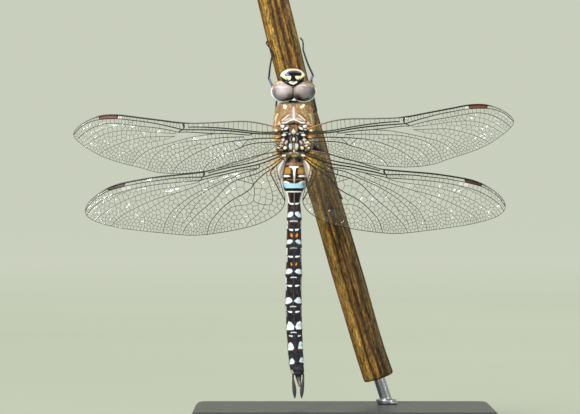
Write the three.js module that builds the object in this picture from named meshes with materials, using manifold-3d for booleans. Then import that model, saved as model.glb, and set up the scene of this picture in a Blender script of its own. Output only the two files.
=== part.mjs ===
// A male migrant hawker dragonfly, life size, hanging head up on a short cut length of dry stem,
// held by a plain display stand. Millimetres, +Z up, head towards +Z, back towards -Y,
// the dragonfly's left side towards -X. The origin is the centre of the stand's underside.
import * as THREE from 'three';
import { mergeVertices } from 'three/addons/utils/BufferGeometryUtils.js';
import Module from 'manifold-3d';

const wasm = await Module();
wasm.setup();

// ---------------------------------------------------------------- driving sizes
const GAP = 0.05; // clearance between neighbouring pieces

// stand
const BASE = { w: 58, d: 42, h: 4, corner: 3 };
const ROD = { r: 1.2, top: 16 }; // it follows the stem's axis down to the base
const PART_X = -9.6; // where the dragonfly's midline stands over the base
const PART_Y = -8.4; // where its wing plane stands over the base

// stem: centre line as [x, z], radius, and how far it leans back towards its foot
const STEM = {
  line: [[-4.3, 83.4], [-0.35, 67.4], [3.7, 52.5], [7.8, 38], [11.7, 24.7], [14.5, 15.2], [16.5, 9.2]],
  r: 2.88, ridges: 9, ridge: 0.14, y: 12.6, zRef: 60, lean: 0.07,
};
const stemY = (z) => STEM.y + (STEM.zRef - z) * STEM.lean;

// head
const HEAD = { x: -0.15, z: 64.4 };
const EYE = { x: 1.86, y: 2.95, z: 64.4, hx: 2.38, hy: 3.35, hz: 2.16 };
// face block, from the top of the frons down to the clypeus: y, half width, z behind, z in front
const FACE = [
  [0.35, 0.9, 66.6, 68.0], [0.75, 1.9, 65.9, 68.45], [1.3, 2.25, 65.3, 68.65], [2.2, 2.28, 63.6, 68.6],
  [3.3, 2.2, 62.75, 68.3], [4.3, 2.0, 62.6, 67.9], [5.2, 1.95, 62.8, 67.75], [5.95, 1.8, 63.1, 67.5],
];
const MOUTH = [
  [6.0, 1.78, 63.2, 67.4], [6.5, 1.6, 63.3, 67.1], [7.1, 1.2, 63.7, 66.5], [7.5, 0.6, 64.3, 65.8],
];

// thorax: z, x of the middle, half width, y of the back, y of the breast, squareness
const PROTHORAX = [
  [63.0, -0.1, 1.0, 2.6, 5.0, 2], [62.55, -0.1, 1.65, 2.0, 5.8, 2.2], [61.6, -0.05, 1.9, 1.8, 6.4, 2.3], [60.9, 0, 1.8, 2.0, 6.8, 2.2],
];
const SYNTHORAX = [
  [62.3, -0.05, 1.9, 0.55, 1.6, 2], [61.7, -0.05, 3.1, 0.1, 1.75, 2.2], [60.85, -0.05, 3.55, -0.35, 6.9, 2.3],
  [59.6, -0.05, 3.8, -0.75, 8.2, 2.35], [58.0, -0.05, 3.88, -0.95, 8.9, 2.4], [56.4, 0, 3.75, -0.5, 9.05, 2.4],
  [54.6, 0, 3.55, -0.3, 8.8, 2.4], [53.2, 0, 3.3, -0.15, 8.1, 2.3], [52.4, 0, 2.7, 0.1, 7.0, 2.2], [51.9, 0, 1.7, 0.6, 5.4, 2.1],
];

// abdomen: one list of stations per segment: z, x of the middle, half width, y of the back, y of the belly
const ABDOMEN = [
  [[51.85, 0, 1.25, 0.95, 4.4], [51.2, 0, 1.75, 0.7, 4.75], [50.2, 0, 2.05, 0.45, 5.0]],
  [[50.15, 0, 2.1, 0.4, 5.0], [48.8, 0.05, 2.25, 0.2, 5.05], [47.0, 0.05, 2.22, 0.25, 4.85], [45.7, 0, 1.88, 0.5, 4.35]],
  [[45.65, 0, 1.82, 0.55, 4.25], [44.4, 0, 1.35, 0.8, 3.7], [43.3, 0, 1.15, 0.95, 3.5], [41.8, 0.05, 1.28, 0.95, 3.55], [39.9, 0.05, 1.4, 0.9, 3.6]],
  [[39.85, 0.05, 1.38, 0.92, 3.6], [37.4, 0, 1.36, 0.9, 3.6], [34.65, 0, 1.5, 0.85, 3.65]],
  [[34.6, 0, 1.42, 0.9, 3.62], [32, 0, 1.44, 0.88, 3.6], [29.25, -0.05, 1.62, 0.82, 3.65]],
  [[29.2, -0.05, 1.5, 0.88, 3.6], [26.4, -0.1, 1.5, 0.88, 3.58], [23.75, -0.1, 1.6, 0.84, 3.6]],
  [[23.7, -0.05, 1.5, 0.9, 3.56], [21.2, 0, 1.5, 0.9, 3.52], [18.8, 0.05, 1.55, 0.9, 3.5]],
  [[18.75, 0.1, 1.45, 0.95, 3.46], [16.8, 0.2, 1.45, 0.97, 3.42], [15.0, 0.25, 1.48, 0.98, 3.38]],
  [[14.95, 0.3, 1.42, 1.02, 3.34], [13.6, 0.4, 1.42, 1.05, 3.3], [12.25, 0.45, 1.4, 1.08, 3.26]],
  [[12.2, 0.5, 1.32, 1.12, 3.2], [11.3, 0.55, 1.3, 1.15, 3.14], [10.3, 0.6, 1.1, 1.3, 3.0]],
];

// claspers and the plate between them: z, x, half width, y, half thickness
const CERCUS = [
  [10.25, 0.72, 0.22, 1.75, 0.28], [9.4, 0.76, 0.34, 1.72, 0.3], [8.2, 0.84, 0.45, 1.72, 0.28], [7.0, 0.8, 0.42, 1.78, 0.26], [6.1, 0.72, 0.28, 1.86, 0.25],
];
const CERCUS_TIP = 5.86;
const EPIPROCT = { top: 10.25, tip: 8.1, w: 1.0, y: 2.45, t: 0.5 };

// wings: leading and trailing edges as [out from the midline, z]; both splines are read at equal steps
const WING_T = 0.5;
const FORE = {
  y: 0, y2: 0.0021,
  lead: [[2.5, 57.2], [4.6, 57.8], [7.4, 58.4], [10.3, 58.6], [16, 58.35], [20.9, 58.25], [25.5, 58.8], [30.2, 59.45], [33.4, 59.8], [36.1, 59.75], [38.4, 59.3], [40.3, 58.3], [41.6, 57.2], [42.0, 56.6]],
  trail: [[2.5, 54.8], [3.4, 54.1], [4.9, 52.95], [8.4, 51.3], [12.2, 50.25], [16.9, 49.3], [21.7, 48.75], [25.8, 48.95], [29.3, 49.85], [33.4, 50.9], [36.9, 52.1], [39.5, 53.6], [41.1, 54.8], [41.9, 55.75]],
};
const HIND = {
  y: 0.62, y2: 0.0021,
  lead: [[2.3, 53.0], [3.4, 52.75], [6.5, 52.1], [9.3, 51.2], [12.2, 50.5], [15.3, 49.5], [17.3, 49.0], [21.7, 48.5], [26.4, 48.0], [31.2, 47.15], [34, 46.5], [36.5, 45.35], [38.4, 44.05], [39.5, 42.7], [39.85, 41.95]],
  trail: [[3.1, 50.2], [2.75, 47.3], [2.1, 45.55], [1.75, 43.55], [2.5, 41.75], [4.6, 40.15], [7.4, 38.9], [11.2, 37.95], [16, 37.2], [19.8, 36.95], [24.5, 37.3], [29.3, 37.8], [33.4, 38.4], [37.2, 39.35], [39.55, 40.7]],
};
// the right wings are held a little higher than the left ones: turn in degrees and size
const RIGHT_FORE = { turn: 3.6, size: 0.993, at: [2.85, 57.28], to: [3.0, 57.28] };
const RIGHT_HIND = { turn: 1.35, size: 1.014, at: [3.3, 52.87], to: [3.05, 53.05] };

// legs: coxa, knee, end of the shin, then the points of the foot
const LEG_R = { coxa: 0.55, femur: 0.4, knee: 0.32, tibia: 0.26, tarsus: 0.25 };
const LEGS = {
  front_left: { hip: [-1.3, 7.0, 61.0], knee: [-4.83, 6.4, 67.0], shin: [-4.09, 9.5, 71.93], foot: [[-4.67, 9.9, 73.0], [-5.28, 10.6, 73.83], [-5.22, 11.1, 74.24]] },
  front_right: { hip: [1.2, 7.0, 61.0], knee: [3.64, 6.4, 67.55], shin: [1.77, 10.4, 72.55], foot: [[1.78, 11.4, 73.55], [1.7, 11.9, 74.4], [1.25, 12.2, 75.0]] },
  middle_left: { hip: [-1.6, 8.3, 59.2], knee: [-3.5, 9.4, 60.6], shin: [-3.1, 10.6, 64.9], foot: [[-3.5, 11.6, 66.3]] },
  middle_right: { hip: [1.6, 8.3, 59.2], knee: [4.3, 8.9, 60.9], shin: [3.5, 10.9, 65.6], foot: [[3.4, 11.7, 67.3]] },
  hind_left: { hip: [-1.3, 9.0, 56.0], knee: [-2.6, 10.4, 53.4], shin: [2.0, 11.6, 48.2], foot: [[2.55, 12.6, 46.2], [3.1, 12.9, 44.3]] },
  hind_right: { hip: [1.7, 8.8, 56.2], knee: [4.4, 9.4, 53.6], shin: [7.1, 10.9, 47.9], foot: [[8.5, 12.3, 45.7], [9.35, 13.0, 43.8]] },
};
const ANTENNA = { x: 1.05, y: 0.1, z: 66.3, tip: [1.9, -0.9, 68.6], r: 0.26 };

// ---------------------------------------------------------------- shape helpers
const V = (x, y, z) => new THREE.Vector3(x, y, z);

// a closed solid through rings of equal count, with a fan over each end
function loft(rings) {
  const n = rings[0].length, p = [], idx = [];
  rings.forEach((r) => r.forEach((v) => p.push(v.x, v.y, v.z)));
  for (let i = 0; i + 1 < rings.length; i++)
    for (let j = 0; j < n; j++) {
      const a = i * n + j, b = i * n + ((j + 1) % n), c = a + n, d = b + n;
      idx.push(a, b, d, a, d, c);
    }
  const cap = (i, flip) => {
    const mid = rings[i].reduce((s, v) => s.add(v), V(0, 0, 0)).divideScalar(n);
    p.push(mid.x, mid.y, mid.z);
    const m = p.length / 3 - 1;
    for (let j = 0; j < n; j++) {
      const a = i * n + j, b = i * n + ((j + 1) % n);
      flip ? idx.push(m, b, a) : idx.push(m, a, b);
    }
  };
  cap(0, true);
  cap(rings.length - 1, false);
  return outward(p, idx);
}

function outward(p, idx) {
  let vol = 0;
  const at = (i) => V(p[3 * i], p[3 * i + 1], p[3 * i + 2]);
  for (let i = 0; i < idx.length; i += 3) vol += at(idx[i]).dot(at(idx[i + 1]).cross(at(idx[i + 2])));
  if (vol < 0) for (let i = 0; i < idx.length; i += 3) [idx[i + 1], idx[i + 2]] = [idx[i + 2], idx[i + 1]];
  const g = new THREE.BufferGeometry();
  g.setAttribute('position', new THREE.BufferAttribute(new Float32Array(p), 3));
  g.setIndex(idx);
  return g;
}

// rounded ring about c in the plane of u and v; the half size along v differs on its two sides
function ring(c, u, v, hu, hv0, hv1, squareness, count) {
  const out = [];
  for (let j = 0; j < count; j++) {
    const t = (2 * Math.PI * (j + 0.5)) / count, cs = Math.cos(t), sn = Math.sin(t);
    const a = Math.sign(cs) * Math.abs(cs) ** (2 / squareness), b = Math.sign(sn) * Math.abs(sn) ** (2 / squareness);
    out.push(c.clone().addScaledVector(u, a * hu).addScaledVector(v, b * (b < 0 ? hv0 : hv1)));
  }
  return out;
}

const UX = V(1, 0, 0), UY = V(0, 1, 0), UZ = V(0, 0, 1);

// a trunk piece from stations [z, x, half width, y back, y belly, squareness], grown by g on every side;
// the widest line lies nearer the back
function trunk(stations, count, g = 0, split = 0.45) {
  return loft(stations.map(([z, x, hw, yb, yv, sq = 2.1], i) => {
    const mid = yb + (yv - yb) * split;
    const dz = i === 0 ? Math.sign(stations[0][0] - stations[1][0]) * g : i === stations.length - 1 ? -Math.sign(stations[0][0] - stations[1][0]) * g : 0;
    return ring(V(x, 0, z + dz).addScaledVector(UY, mid), UX, UY, hw + g, mid - yb + g, yv - mid + g, sq, count);
  }));
}

// a piece that runs along Y from stations [y, half width, z behind, z in front]
function block(stations, x, count, g = 0) {
  return loft(stations.map(([y, hw, z0, z1], i) => {
    const dy = i === 0 ? -g : i === stations.length - 1 ? g : 0;
    return ring(V(x, y + dy, (z0 + z1) / 2), UX, UZ, hw + g, (z1 - z0) / 2 + g, (z1 - z0) / 2 + g, 2.3, count);
  }));
}

// a limb along a path with a radius at each point and softly closed ends
function limb(points, radii, sides = 8) {
  const pts = points.map((q) => (q.isVector3 ? q : V(...q)));
  const dirs = pts.map((q, i) => {
    const a = pts[Math.max(0, i - 1)], b = pts[Math.min(pts.length - 1, i + 1)];
    return b.clone().sub(a).normalize();
  });
  let u = Math.abs(dirs[0].y) < 0.9 ? UY.clone() : UX.clone();
  const rings = [];
  const add = (c, d, r) => {
    u = u.clone().addScaledVector(d, -u.dot(d)).normalize();
    rings.push(ring(c, u, d.clone().cross(u), r, r, r, 2, sides));
  };
  add(pts[0].clone().addScaledVector(dirs[0], -radii[0] * 0.6), dirs[0], radii[0] * 0.55);
  pts.forEach((q, i) => add(q, dirs[i], radii[i]));
  const n = pts.length - 1;
  add(pts[n].clone().addScaledVector(dirs[n], radii[n] * 0.6), dirs[n], radii[n] * 0.55);
  return loft(rings);
}

function ellipsoid(c, hx, hy, hz, count = 20, rows = 12) {
  const rings = [];
  for (let i = 1; i < rows; i++) {
    const t = (Math.PI * i) / rows;
    rings.push(ring(V(c[0], c[1] - hy * Math.cos(t), c[2]), UX, UZ, hx * Math.sin(t), hz * Math.sin(t), hz * Math.sin(t), 2, count));
  }
  return loft(rings);
}

// a thin plate between two edge splines, bent back towards the tip
function wingPlate(wing, place, steps = 26, across = 3) {
  const curve = (pts) => new THREE.CatmullRomCurve3(pts.map(([x, z]) => V(x, 0, z)), false, 'centripetal');
  const lead = curve(wing.lead), trail = curve(wing.trail), t = WING_T / 2;
  const side = (s) => {
    const rows = [];
    for (let i = 0; i <= steps; i++) {
      const a = lead.getPoint(i / steps), b = trail.getPoint(i / steps), row = [];
      for (let k = 0; k <= across; k++) {
        const q = a.clone().lerp(b, k / across), w = place(q.x, q.z);
        row.push(V(w[0], wing.y + wing.y2 * q.x * q.x + s * t, w[1]));
      }
      rows.push(row);
    }
    return rows;
  };
  const top = side(-1), low = side(1);
  return loft(top.map((row, i) => [...row, ...low[i].slice().reverse()]));
}

const leftWing = (x, z) => [-x, z];
const rightWing = ({ turn, size, at, to }) => (x, z) => {
  const c = Math.cos((turn * Math.PI) / 180), s = Math.sin((turn * Math.PI) / 180);
  const dx = (x - at[0]) * size, dz = (z - at[1]) * size;
  return [to[0] + dx * c - dz * s, to[1] + dx * s + dz * c];
};

// ---------------------------------------------------------------- joining and cutting
function solid(g) {
  const q = mergeVertices(new THREE.BufferGeometry().setAttribute('position', g.index ? g.toNonIndexed().getAttribute('position') : g.getAttribute('position')), 1e-4);
  return new wasm.Manifold(new wasm.Mesh({ numProp: 3, vertProperties: q.getAttribute('position').array, triVerts: new Uint32Array(q.index.array) }));
}
function largest(s) {
  return s.decompose().sort((a, b) => b.volume() - a.volume())[0];
}
function geometry(s) {
  const m = s.getMesh(), g = new THREE.BufferGeometry();
  g.setAttribute('position', new THREE.BufferAttribute(new Float32Array(m.vertProperties), 3));
  g.setIndex(new THREE.BufferAttribute(new Uint32Array(m.triVerts), 1));
  return g;
}
const cut = (g, ...tools) => geometry(largest(tools.reduce((s, t) => s.subtract(solid(t)), solid(g))));

// ---------------------------------------------------------------- finishes
const mat = (color, roughness, metalness = 0) => new THREE.MeshStandardMaterial({ color, roughness, metalness });
const M = {
  brown: mat(0x6b4a2a, 0.6), dark: mat(0x2a211b, 0.4), eye: mat(0x8d8794, 0.15), face: mat(0xe6dfbf, 0.35),
  leg: mat(0x1c1a24, 0.3), wing: mat(0xc9cfc0, 0.1), blue: mat(0x8fb3cc, 0.45), clasper: mat(0x2a2833, 0.35),
  stem: mat(0x7a5630, 0.85), base: mat(0x3a3a3c, 0.4), rod: mat(0xb8bcc0, 0.25, 1),
};

const part = new THREE.Group();
const insect = new THREE.Group();
insect.position.set(PART_X, PART_Y, 0);
part.add(insect);
const put = (name, g, m, to = insect) => {
  g.computeVertexNormals();
  const mesh = new THREE.Mesh(g, m);
  mesh.name = name;
  to.add(mesh);
};

// ---------------------------------------------------------------- head
const face = block(FACE, HEAD.x, 20);
const faceClear = block(FACE, HEAD.x, 20, GAP);
put('head', face, M.face);
put('mouthparts', block(MOUTH, HEAD.x, 16), M.face);
for (const [name, s] of [['eye_left', -1], ['eye_right', 1]]) {
  const e = ellipsoid([HEAD.x + s * EYE.x, EYE.y, EYE.z], EYE.hx, EYE.hy, EYE.hz);
  const half = new THREE.BoxGeometry(6, 12, 12).translate(HEAD.x - s * (3 - GAP / 2), EYE.y, EYE.z);
  put(name, cut(e, faceClear, half, block(MOUTH, HEAD.x, 16, GAP)), M.eye);
}
for (const [name, s] of [['antenna_left', -1], ['antenna_right', 1]]) {
  const root = V(HEAD.x + s * ANTENNA.x, ANTENNA.y, ANTENNA.z), tip = V(HEAD.x + s * ANTENNA.tip[0], ANTENNA.tip[1], ANTENNA.tip[2]);
  const eyeClear = [-1, 1].map((k) => ellipsoid([HEAD.x + k * EYE.x, EYE.y, EYE.z], EYE.hx + GAP, EYE.hy + GAP, EYE.hz + GAP));
  put(name, cut(limb([root, root.clone().lerp(tip, 0.5), tip], [ANTENNA.r, ANTENNA.r, ANTENNA.r], 6), faceClear, ...eyeClear), M.leg);
}

// ---------------------------------------------------------------- thorax
const eyesClear = [-1, 1].map((k) => ellipsoid([HEAD.x + k * EYE.x, EYE.y, EYE.z], EYE.hx + GAP, EYE.hy + GAP, EYE.hz + GAP));
const synClear = trunk(SYNTHORAX, 24, GAP, 0.4);
put('synthorax', cut(trunk(SYNTHORAX, 24, 0, 0.4), ...eyesClear, faceClear), M.brown);
put('prothorax', cut(trunk(PROTHORAX, 16), faceClear, synClear, ...eyesClear), M.brown);

// ---------------------------------------------------------------- abdomen, ten segments and the claspers
ABDOMEN.forEach((stations, i) => put('abdomen_s' + (i + 1), trunk(stations, 16), M.dark));
for (const [name, s] of [['cercus_left', -1], ['cercus_right', 1]]) {
  const mid = ABDOMEN[9][2][1];
  const rings = CERCUS.map(([z, x, hw, y, ht]) => ring(V(mid + s * x, y, z), UX, UY, hw, ht, ht, 2.2, 8));
  rings.push(ring(V(mid + s * CERCUS[4][1], CERCUS[4][3], CERCUS_TIP), UX, UY, 0.12, 0.12, 0.12, 2, 8));
  put(name, loft(rings), M.clasper);
}
{
  const mid = ABDOMEN[9][2][1], { top, tip, w, y, t } = EPIPROCT;
  put('epiproct', loft([[top, w / 2], [(top + tip) / 2, w / 3], [tip, 0.14]].map(([z, hw]) => ring(V(mid, y, z), UX, UY, hw, t / 2, t / 2, 2.4, 8))), M.clasper);
}

// ---------------------------------------------------------------- wings
const foreL = wingPlate(FORE, leftWing), hindL = wingPlate(HIND, leftWing);
const foreR = wingPlate(FORE, rightWing(RIGHT_FORE)), hindR = wingPlate(HIND, rightWing(RIGHT_HIND));
const bellyClear = ABDOMEN.slice(0, 4).map((st) => trunk(st, 16, GAP * 1.5));
put('forewing_left', cut(foreL, synClear), M.wing);
put('forewing_right', cut(foreR, synClear), M.wing);
put('hindwing_left', cut(hindL, synClear, ...bellyClear), M.wing);
put('hindwing_right', cut(hindR, synClear, ...bellyClear), M.wing);

// ---------------------------------------------------------------- perch: a cut length of ridged stem
function stemRings(grow = 0) {
  const curve = new THREE.CatmullRomCurve3(STEM.line.map(([x, z]) => V(x, stemY(z), z)), false, 'centripetal');
  const steps = 14, count = STEM.ridges * 4, rings = [];
  for (let i = 0; i <= steps; i++) {
    const c = curve.getPointAt(i / steps), d = curve.getTangentAt(i / steps);
    const u = UX.clone().addScaledVector(d, -UX.dot(d)).normalize(), v = d.clone().cross(u);
    const r = STEM.r + grow + 0.12 * Math.sin(i * 1.7) * 0.5;
    const out = [];
    for (let j = 0; j < count; j++) {
      const t = (2 * Math.PI * j) / count, rr = r + STEM.ridge * Math.cos(STEM.ridges * t + 0.05 * i);
      out.push(c.clone().addScaledVector(u, rr * Math.cos(t)).addScaledVector(v, rr * Math.sin(t)));
    }
    rings.push(out);
  }
  return rings;
}
const stemAxis = (z) => {
  const a = STEM.line[STEM.line.length - 2], b = STEM.line[STEM.line.length - 1];
  return V(b[0] + ((a[0] - b[0]) * (z - b[1])) / (a[1] - b[1]) + PART_X, stemY(z) + PART_Y, z);
};
const rod = (grow) => loft([BASE.h - grow, ROD.top + grow].map((z) => ring(stemAxis(z), UX, UY, ROD.r + grow, ROD.r + grow, ROD.r + grow, 2, 24)));
const stemSolid = loft(stemRings());
stemSolid.translate(PART_X, PART_Y, 0);
put('perch_stem', cut(stemSolid, rod(GAP)), M.stem, part);

// ---------------------------------------------------------------- legs
const stemClear = loft(stemRings(GAP));
const at = (a, b, f) => V(...a).lerp(V(...b), f);
for (const [name, leg] of Object.entries(LEGS)) {
  const { hip, knee, shin, foot } = leg, k = LEG_R;
  const femur = limb([hip, at(hip, knee, 0.18), at(hip, knee, 0.55), at(hip, knee, 0.95)], [k.coxa, k.femur, k.femur, k.knee]);
  const tibia = limb([at(knee, shin, 0.09), at(knee, shin, 0.5), at(knee, shin, 0.95)], [k.tibia * 1.08, k.tibia, k.tibia]);
  const path = [V(...shin), ...foot.map((q) => V(...q))];
  const start = path[0].clone().lerp(path[1], 0.12);
  const tarsus = limb([start, ...path.slice(1)], path.map(() => k.tarsus), 8);
  const others = [faceClear, ...eyesClear, trunk(PROTHORAX, 16, GAP)];
  put('femur_' + name, cut(femur, synClear, stemClear, ...others), M.leg);
  put('tibia_' + name, cut(tibia, synClear, stemClear, limb([hip, knee], [k.knee + GAP, k.knee + GAP]), ...others), M.leg);
  put('tarsus_' + name, cut(tarsus, stemClear, limb([at(knee, shin, 0.09), at(knee, shin, 0.95)], [k.tibia + GAP, k.tibia + GAP])), M.leg);
}

// ---------------------------------------------------------------- stand
{
  const { w, d, h, corner } = BASE, s = new THREE.Shape();
  s.moveTo(-w / 2 + corner, -d / 2);
  s.lineTo(w / 2 - corner, -d / 2);
  s.absarc(w / 2 - corner, -d / 2 + corner, corner, -Math.PI / 2, 0, false);
  s.lineTo(w / 2, d / 2 - corner);
  s.absarc(w / 2 - corner, d / 2 - corner, corner, 0, Math.PI / 2, false);
  s.lineTo(-w / 2 + corner, d / 2);
  s.absarc(-w / 2 + corner, d / 2 - corner, corner, Math.PI / 2, Math.PI, false);
  s.lineTo(-w / 2, -d / 2 + corner);
  s.absarc(-w / 2 + corner, -d / 2 + corner, corner, Math.PI, 1.5 * Math.PI, false);
  put('stand_base', new THREE.ExtrudeGeometry(s, { depth: h - GAP, bevelEnabled: false, curveSegments: 6 }), M.base, part);
  put('stand_rod', rod(0), M.rod, part);
}

export default part;
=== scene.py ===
"""A male migrant hawker dragonfly, life size, on a cut length of stem held by a plain stand.

Millimetres in the insect's own frame are used below: x across (its left is -x), y from the back (-y, towards the
camera) to the belly, z up. OFFSET takes them to the row frame. Markings are laid out in units of 0.19 mm from the
same origin, as (u, v) = (294 + x / 0.19, (81.66 - z) / 0.19), which is how the body was measured.
"""
import bpy, math
import numpy as np
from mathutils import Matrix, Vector
from mathutils.geometry import delaunay_2d_cdt


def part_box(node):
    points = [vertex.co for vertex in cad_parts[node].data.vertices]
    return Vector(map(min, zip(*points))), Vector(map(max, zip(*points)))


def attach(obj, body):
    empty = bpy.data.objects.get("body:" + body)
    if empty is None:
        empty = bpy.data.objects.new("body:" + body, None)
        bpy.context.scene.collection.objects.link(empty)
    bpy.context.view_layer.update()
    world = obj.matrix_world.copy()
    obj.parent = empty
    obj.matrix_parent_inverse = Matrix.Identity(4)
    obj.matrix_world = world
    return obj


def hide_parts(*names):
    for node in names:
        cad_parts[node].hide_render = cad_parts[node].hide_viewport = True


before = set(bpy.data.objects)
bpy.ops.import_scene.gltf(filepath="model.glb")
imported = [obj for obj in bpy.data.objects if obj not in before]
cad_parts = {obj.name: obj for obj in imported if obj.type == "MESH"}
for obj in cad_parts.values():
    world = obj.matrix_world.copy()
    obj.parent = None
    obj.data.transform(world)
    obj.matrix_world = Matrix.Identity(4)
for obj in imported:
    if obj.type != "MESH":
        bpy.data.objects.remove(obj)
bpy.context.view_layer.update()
MM = 0.001
UNIT = 0.19

_a, _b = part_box("abdomen_s3")
OFFSET = np.array([round((_a.x + _b.x) * 500, 1), round(_a.y * 1000 - 0.58, 1), 0.0])
BASE_LO, BASE_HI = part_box("stand_base")


# ------------------------------------------------------------------ small maths
def smooth(e0, e1, x):
    t = np.clip((x - e0) / (e1 - e0), 0, 1)
    return t * t * (3 - 2 * t)


def bell(d, s):
    return np.exp(-(d / s) ** 2)


def U(x):
    return 294 + np.asarray(x) / UNIT


def Vv(z):
    return (81.66 - np.asarray(z)) / UNIT


def X(u):
    return (np.asarray(u) - 294) * UNIT


def Z(v):
    return 81.66 - UNIT * np.asarray(v)


def lin(rgb):
    """A colour as seen on a screen, 0 to 255, to the linear one that shaders use."""
    c = np.array(rgb, float) / 255
    return np.where(c <= 0.04045, c / 12.92, ((c + 0.055) / 1.055) ** 2.4)


def curve(pts, step=0.25):
    """Points along a Catmull-Rom curve, about step apart, in any number of dimensions."""
    p = np.array(pts, float)
    if len(p) == 2:
        n = max(2, int(np.linalg.norm(p[1] - p[0]) / step) + 1)
        return p[0] + (p[1] - p[0]) * np.linspace(0, 1, n)[:, None]
    q = np.vstack([2 * p[0] - p[1], p, 2 * p[-1] - p[-2]])
    out = []
    for i in range(1, len(q) - 2):
        n = max(1, int(np.linalg.norm(q[i + 1] - q[i]) / step))
        a, b, c, d = q[i - 1 : i + 3]
        for t in np.arange(n) / n:
            out.append(0.5 * (2 * b + (c - a) * t + (2 * a - 5 * b + 4 * c - d) * t**2 + (3 * b - a - 3 * c + d) * t**3))
    out.append(p[-1])
    return np.array(out)


def to_line(x, y, pts):
    """Distance of each (x, y) from a polyline, and how far along it the nearest point is, 0 to 1."""
    p = np.array(pts, float)
    best = np.full(np.shape(x), 1e9)
    along = np.zeros(np.shape(x))
    seg = np.hypot(*(p[1:] - p[:-1]).T)
    at = np.concatenate([[0], np.cumsum(seg)])
    for i in range(len(p) - 1):
        (ax, ay), (bx, by) = p[i], p[i + 1]
        dx, dy = bx - ax, by - ay
        t = np.clip(((x - ax) * dx + (y - ay) * dy) / max(dx * dx + dy * dy, 1e-12), 0, 1)
        d = np.hypot(x - ax - t * dx, y - ay - t * dy)
        m = d < best
        best = np.where(m, d, best)
        along = np.where(m, (at[i] + t * seg[i]) / at[-1], along)
    return best, along


def to_poly(x, y, pts):
    """Signed distance from a closed outline, negative inside."""
    p = np.array(pts, float)
    d, _ = to_line(x, y, np.vstack([p, p[:1]]))
    inside = np.zeros(np.shape(x), bool)
    for (ax, ay), (bx, by) in zip(p, np.roll(p, -1, 0)):
        if ay == by:
            continue
        inside ^= ((ay > y) != (by > y)) & (x < (bx - ax) * (y - ay) / (by - ay) + ax)
    return np.where(inside, -d, d)


def to_oval(x, y, cx, cy, rx, ry, turn=0.0):
    c, s = math.cos(math.radians(turn)), math.sin(math.radians(turn))
    a, b = (x - cx) * c + (y - cy) * s, -(x - cx) * s + (y - cy) * c
    r = np.hypot(a / rx, b / ry)
    return (r - 1) * min(rx, ry)


# ------------------------------------------------------------------ meshes
def make(name, verts, faces, mats, smooth_shade=True, col=None, face_mat=None, attrs=None, uv=None, corner_col=None):
    """A mesh object from points in insect millimetres. col is a linear colour for each point, corner_col for each corner."""
    me = bpy.data.meshes.new(name)
    v = (np.asarray(verts, float) + OFFSET) * MM
    me.from_pydata(v.tolist(), [], faces.tolist() if isinstance(faces, np.ndarray) else faces)
    if smooth_shade:
        me.polygons.foreach_set("use_smooth", np.ones(len(me.polygons), bool))
    else:
        me.polygons.foreach_set("use_smooth", np.zeros(len(me.polygons), bool))
    if face_mat is not None:
        me.polygons.foreach_set("material_index", np.asarray(face_mat, np.int32))
    if col is not None:
        at = me.color_attributes.new(name="Col", type="FLOAT_COLOR", domain="POINT")
        at.data.foreach_set("color", np.column_stack([col, np.ones(len(col))]).astype(np.float32).ravel())
    if corner_col is not None:
        at = me.color_attributes.new(name="Col", type="FLOAT_COLOR", domain="CORNER")
        at.data.foreach_set("color", np.column_stack([corner_col, np.ones(len(corner_col))]).astype(np.float32).ravel())
    for k, a in (attrs or {}).items():
        at = me.attributes.new(name=k, type="FLOAT", domain="POINT" if len(a) == len(v) else "FACE")
        at.data.foreach_set("value", np.asarray(a, np.float32))
    if uv is not None:
        layer = me.uv_layers.new(name="OFBake")
        layer.data.foreach_set("uv", np.asarray(uv, np.float32).ravel())
    me.update()
    ob = bpy.data.objects.new(name, me)
    bpy.context.scene.collection.objects.link(ob)
    for m in mats if isinstance(mats, (list, tuple)) else [mats]:
        me.materials.append(m)
    return ob


def piece(ob, slot, *nodes):
    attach(ob, "root")
    if nodes:
        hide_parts(*nodes)
    return ob


def grid_faces(rows, cols, closed=True, flip=False):
    i = np.arange(rows - 1)[:, None]
    j = np.arange(cols if closed else cols - 1)[None]
    k = (j + 1) % cols
    a, b, c, d = i * cols + j, i * cols + k, (i + 1) * cols + k, (i + 1) * cols + j
    f = np.stack(np.broadcast_arrays(a, b, c, d), -1).reshape(-1, 4)
    return f[:, ::-1] if flip else f


def lofted(rings, caps=True, flip=False):
    """Points and faces of a skin through rings of equal count, closed with a fan at each end."""
    rows, cols = rings.shape[:2]
    v = rings.reshape(-1, 3)
    f = grid_faces(rows, cols, True, flip).tolist()
    if caps:
        n = len(v)
        v = np.vstack([v, rings[0].mean(0), rings[-1].mean(0)])
        for j in range(cols):
            k = (j + 1) % cols
            a, b = (k, j), ((rows - 1) * cols + j, (rows - 1) * cols + k)
            if flip:
                a, b = a[::-1], b[::-1]
            f.append((n, a[0], a[1]))
            f.append((n + 1, b[0], b[1]))
    return v, f


def normals(v, f):
    """Point normals of a mesh given as points and mixed faces."""
    n = np.zeros_like(v)
    tri = np.array([(q[0], q[k], q[k + 1]) for q in f for k in range(1, len(q) - 1)], int)
    g = np.cross(v[tri[:, 1]] - v[tri[:, 0]], v[tri[:, 2]] - v[tri[:, 0]])
    for k in range(3):
        np.add.at(n, tri[:, k], g)
    return n / np.maximum(np.linalg.norm(n, axis=1), 1e-12)[:, None]


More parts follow.
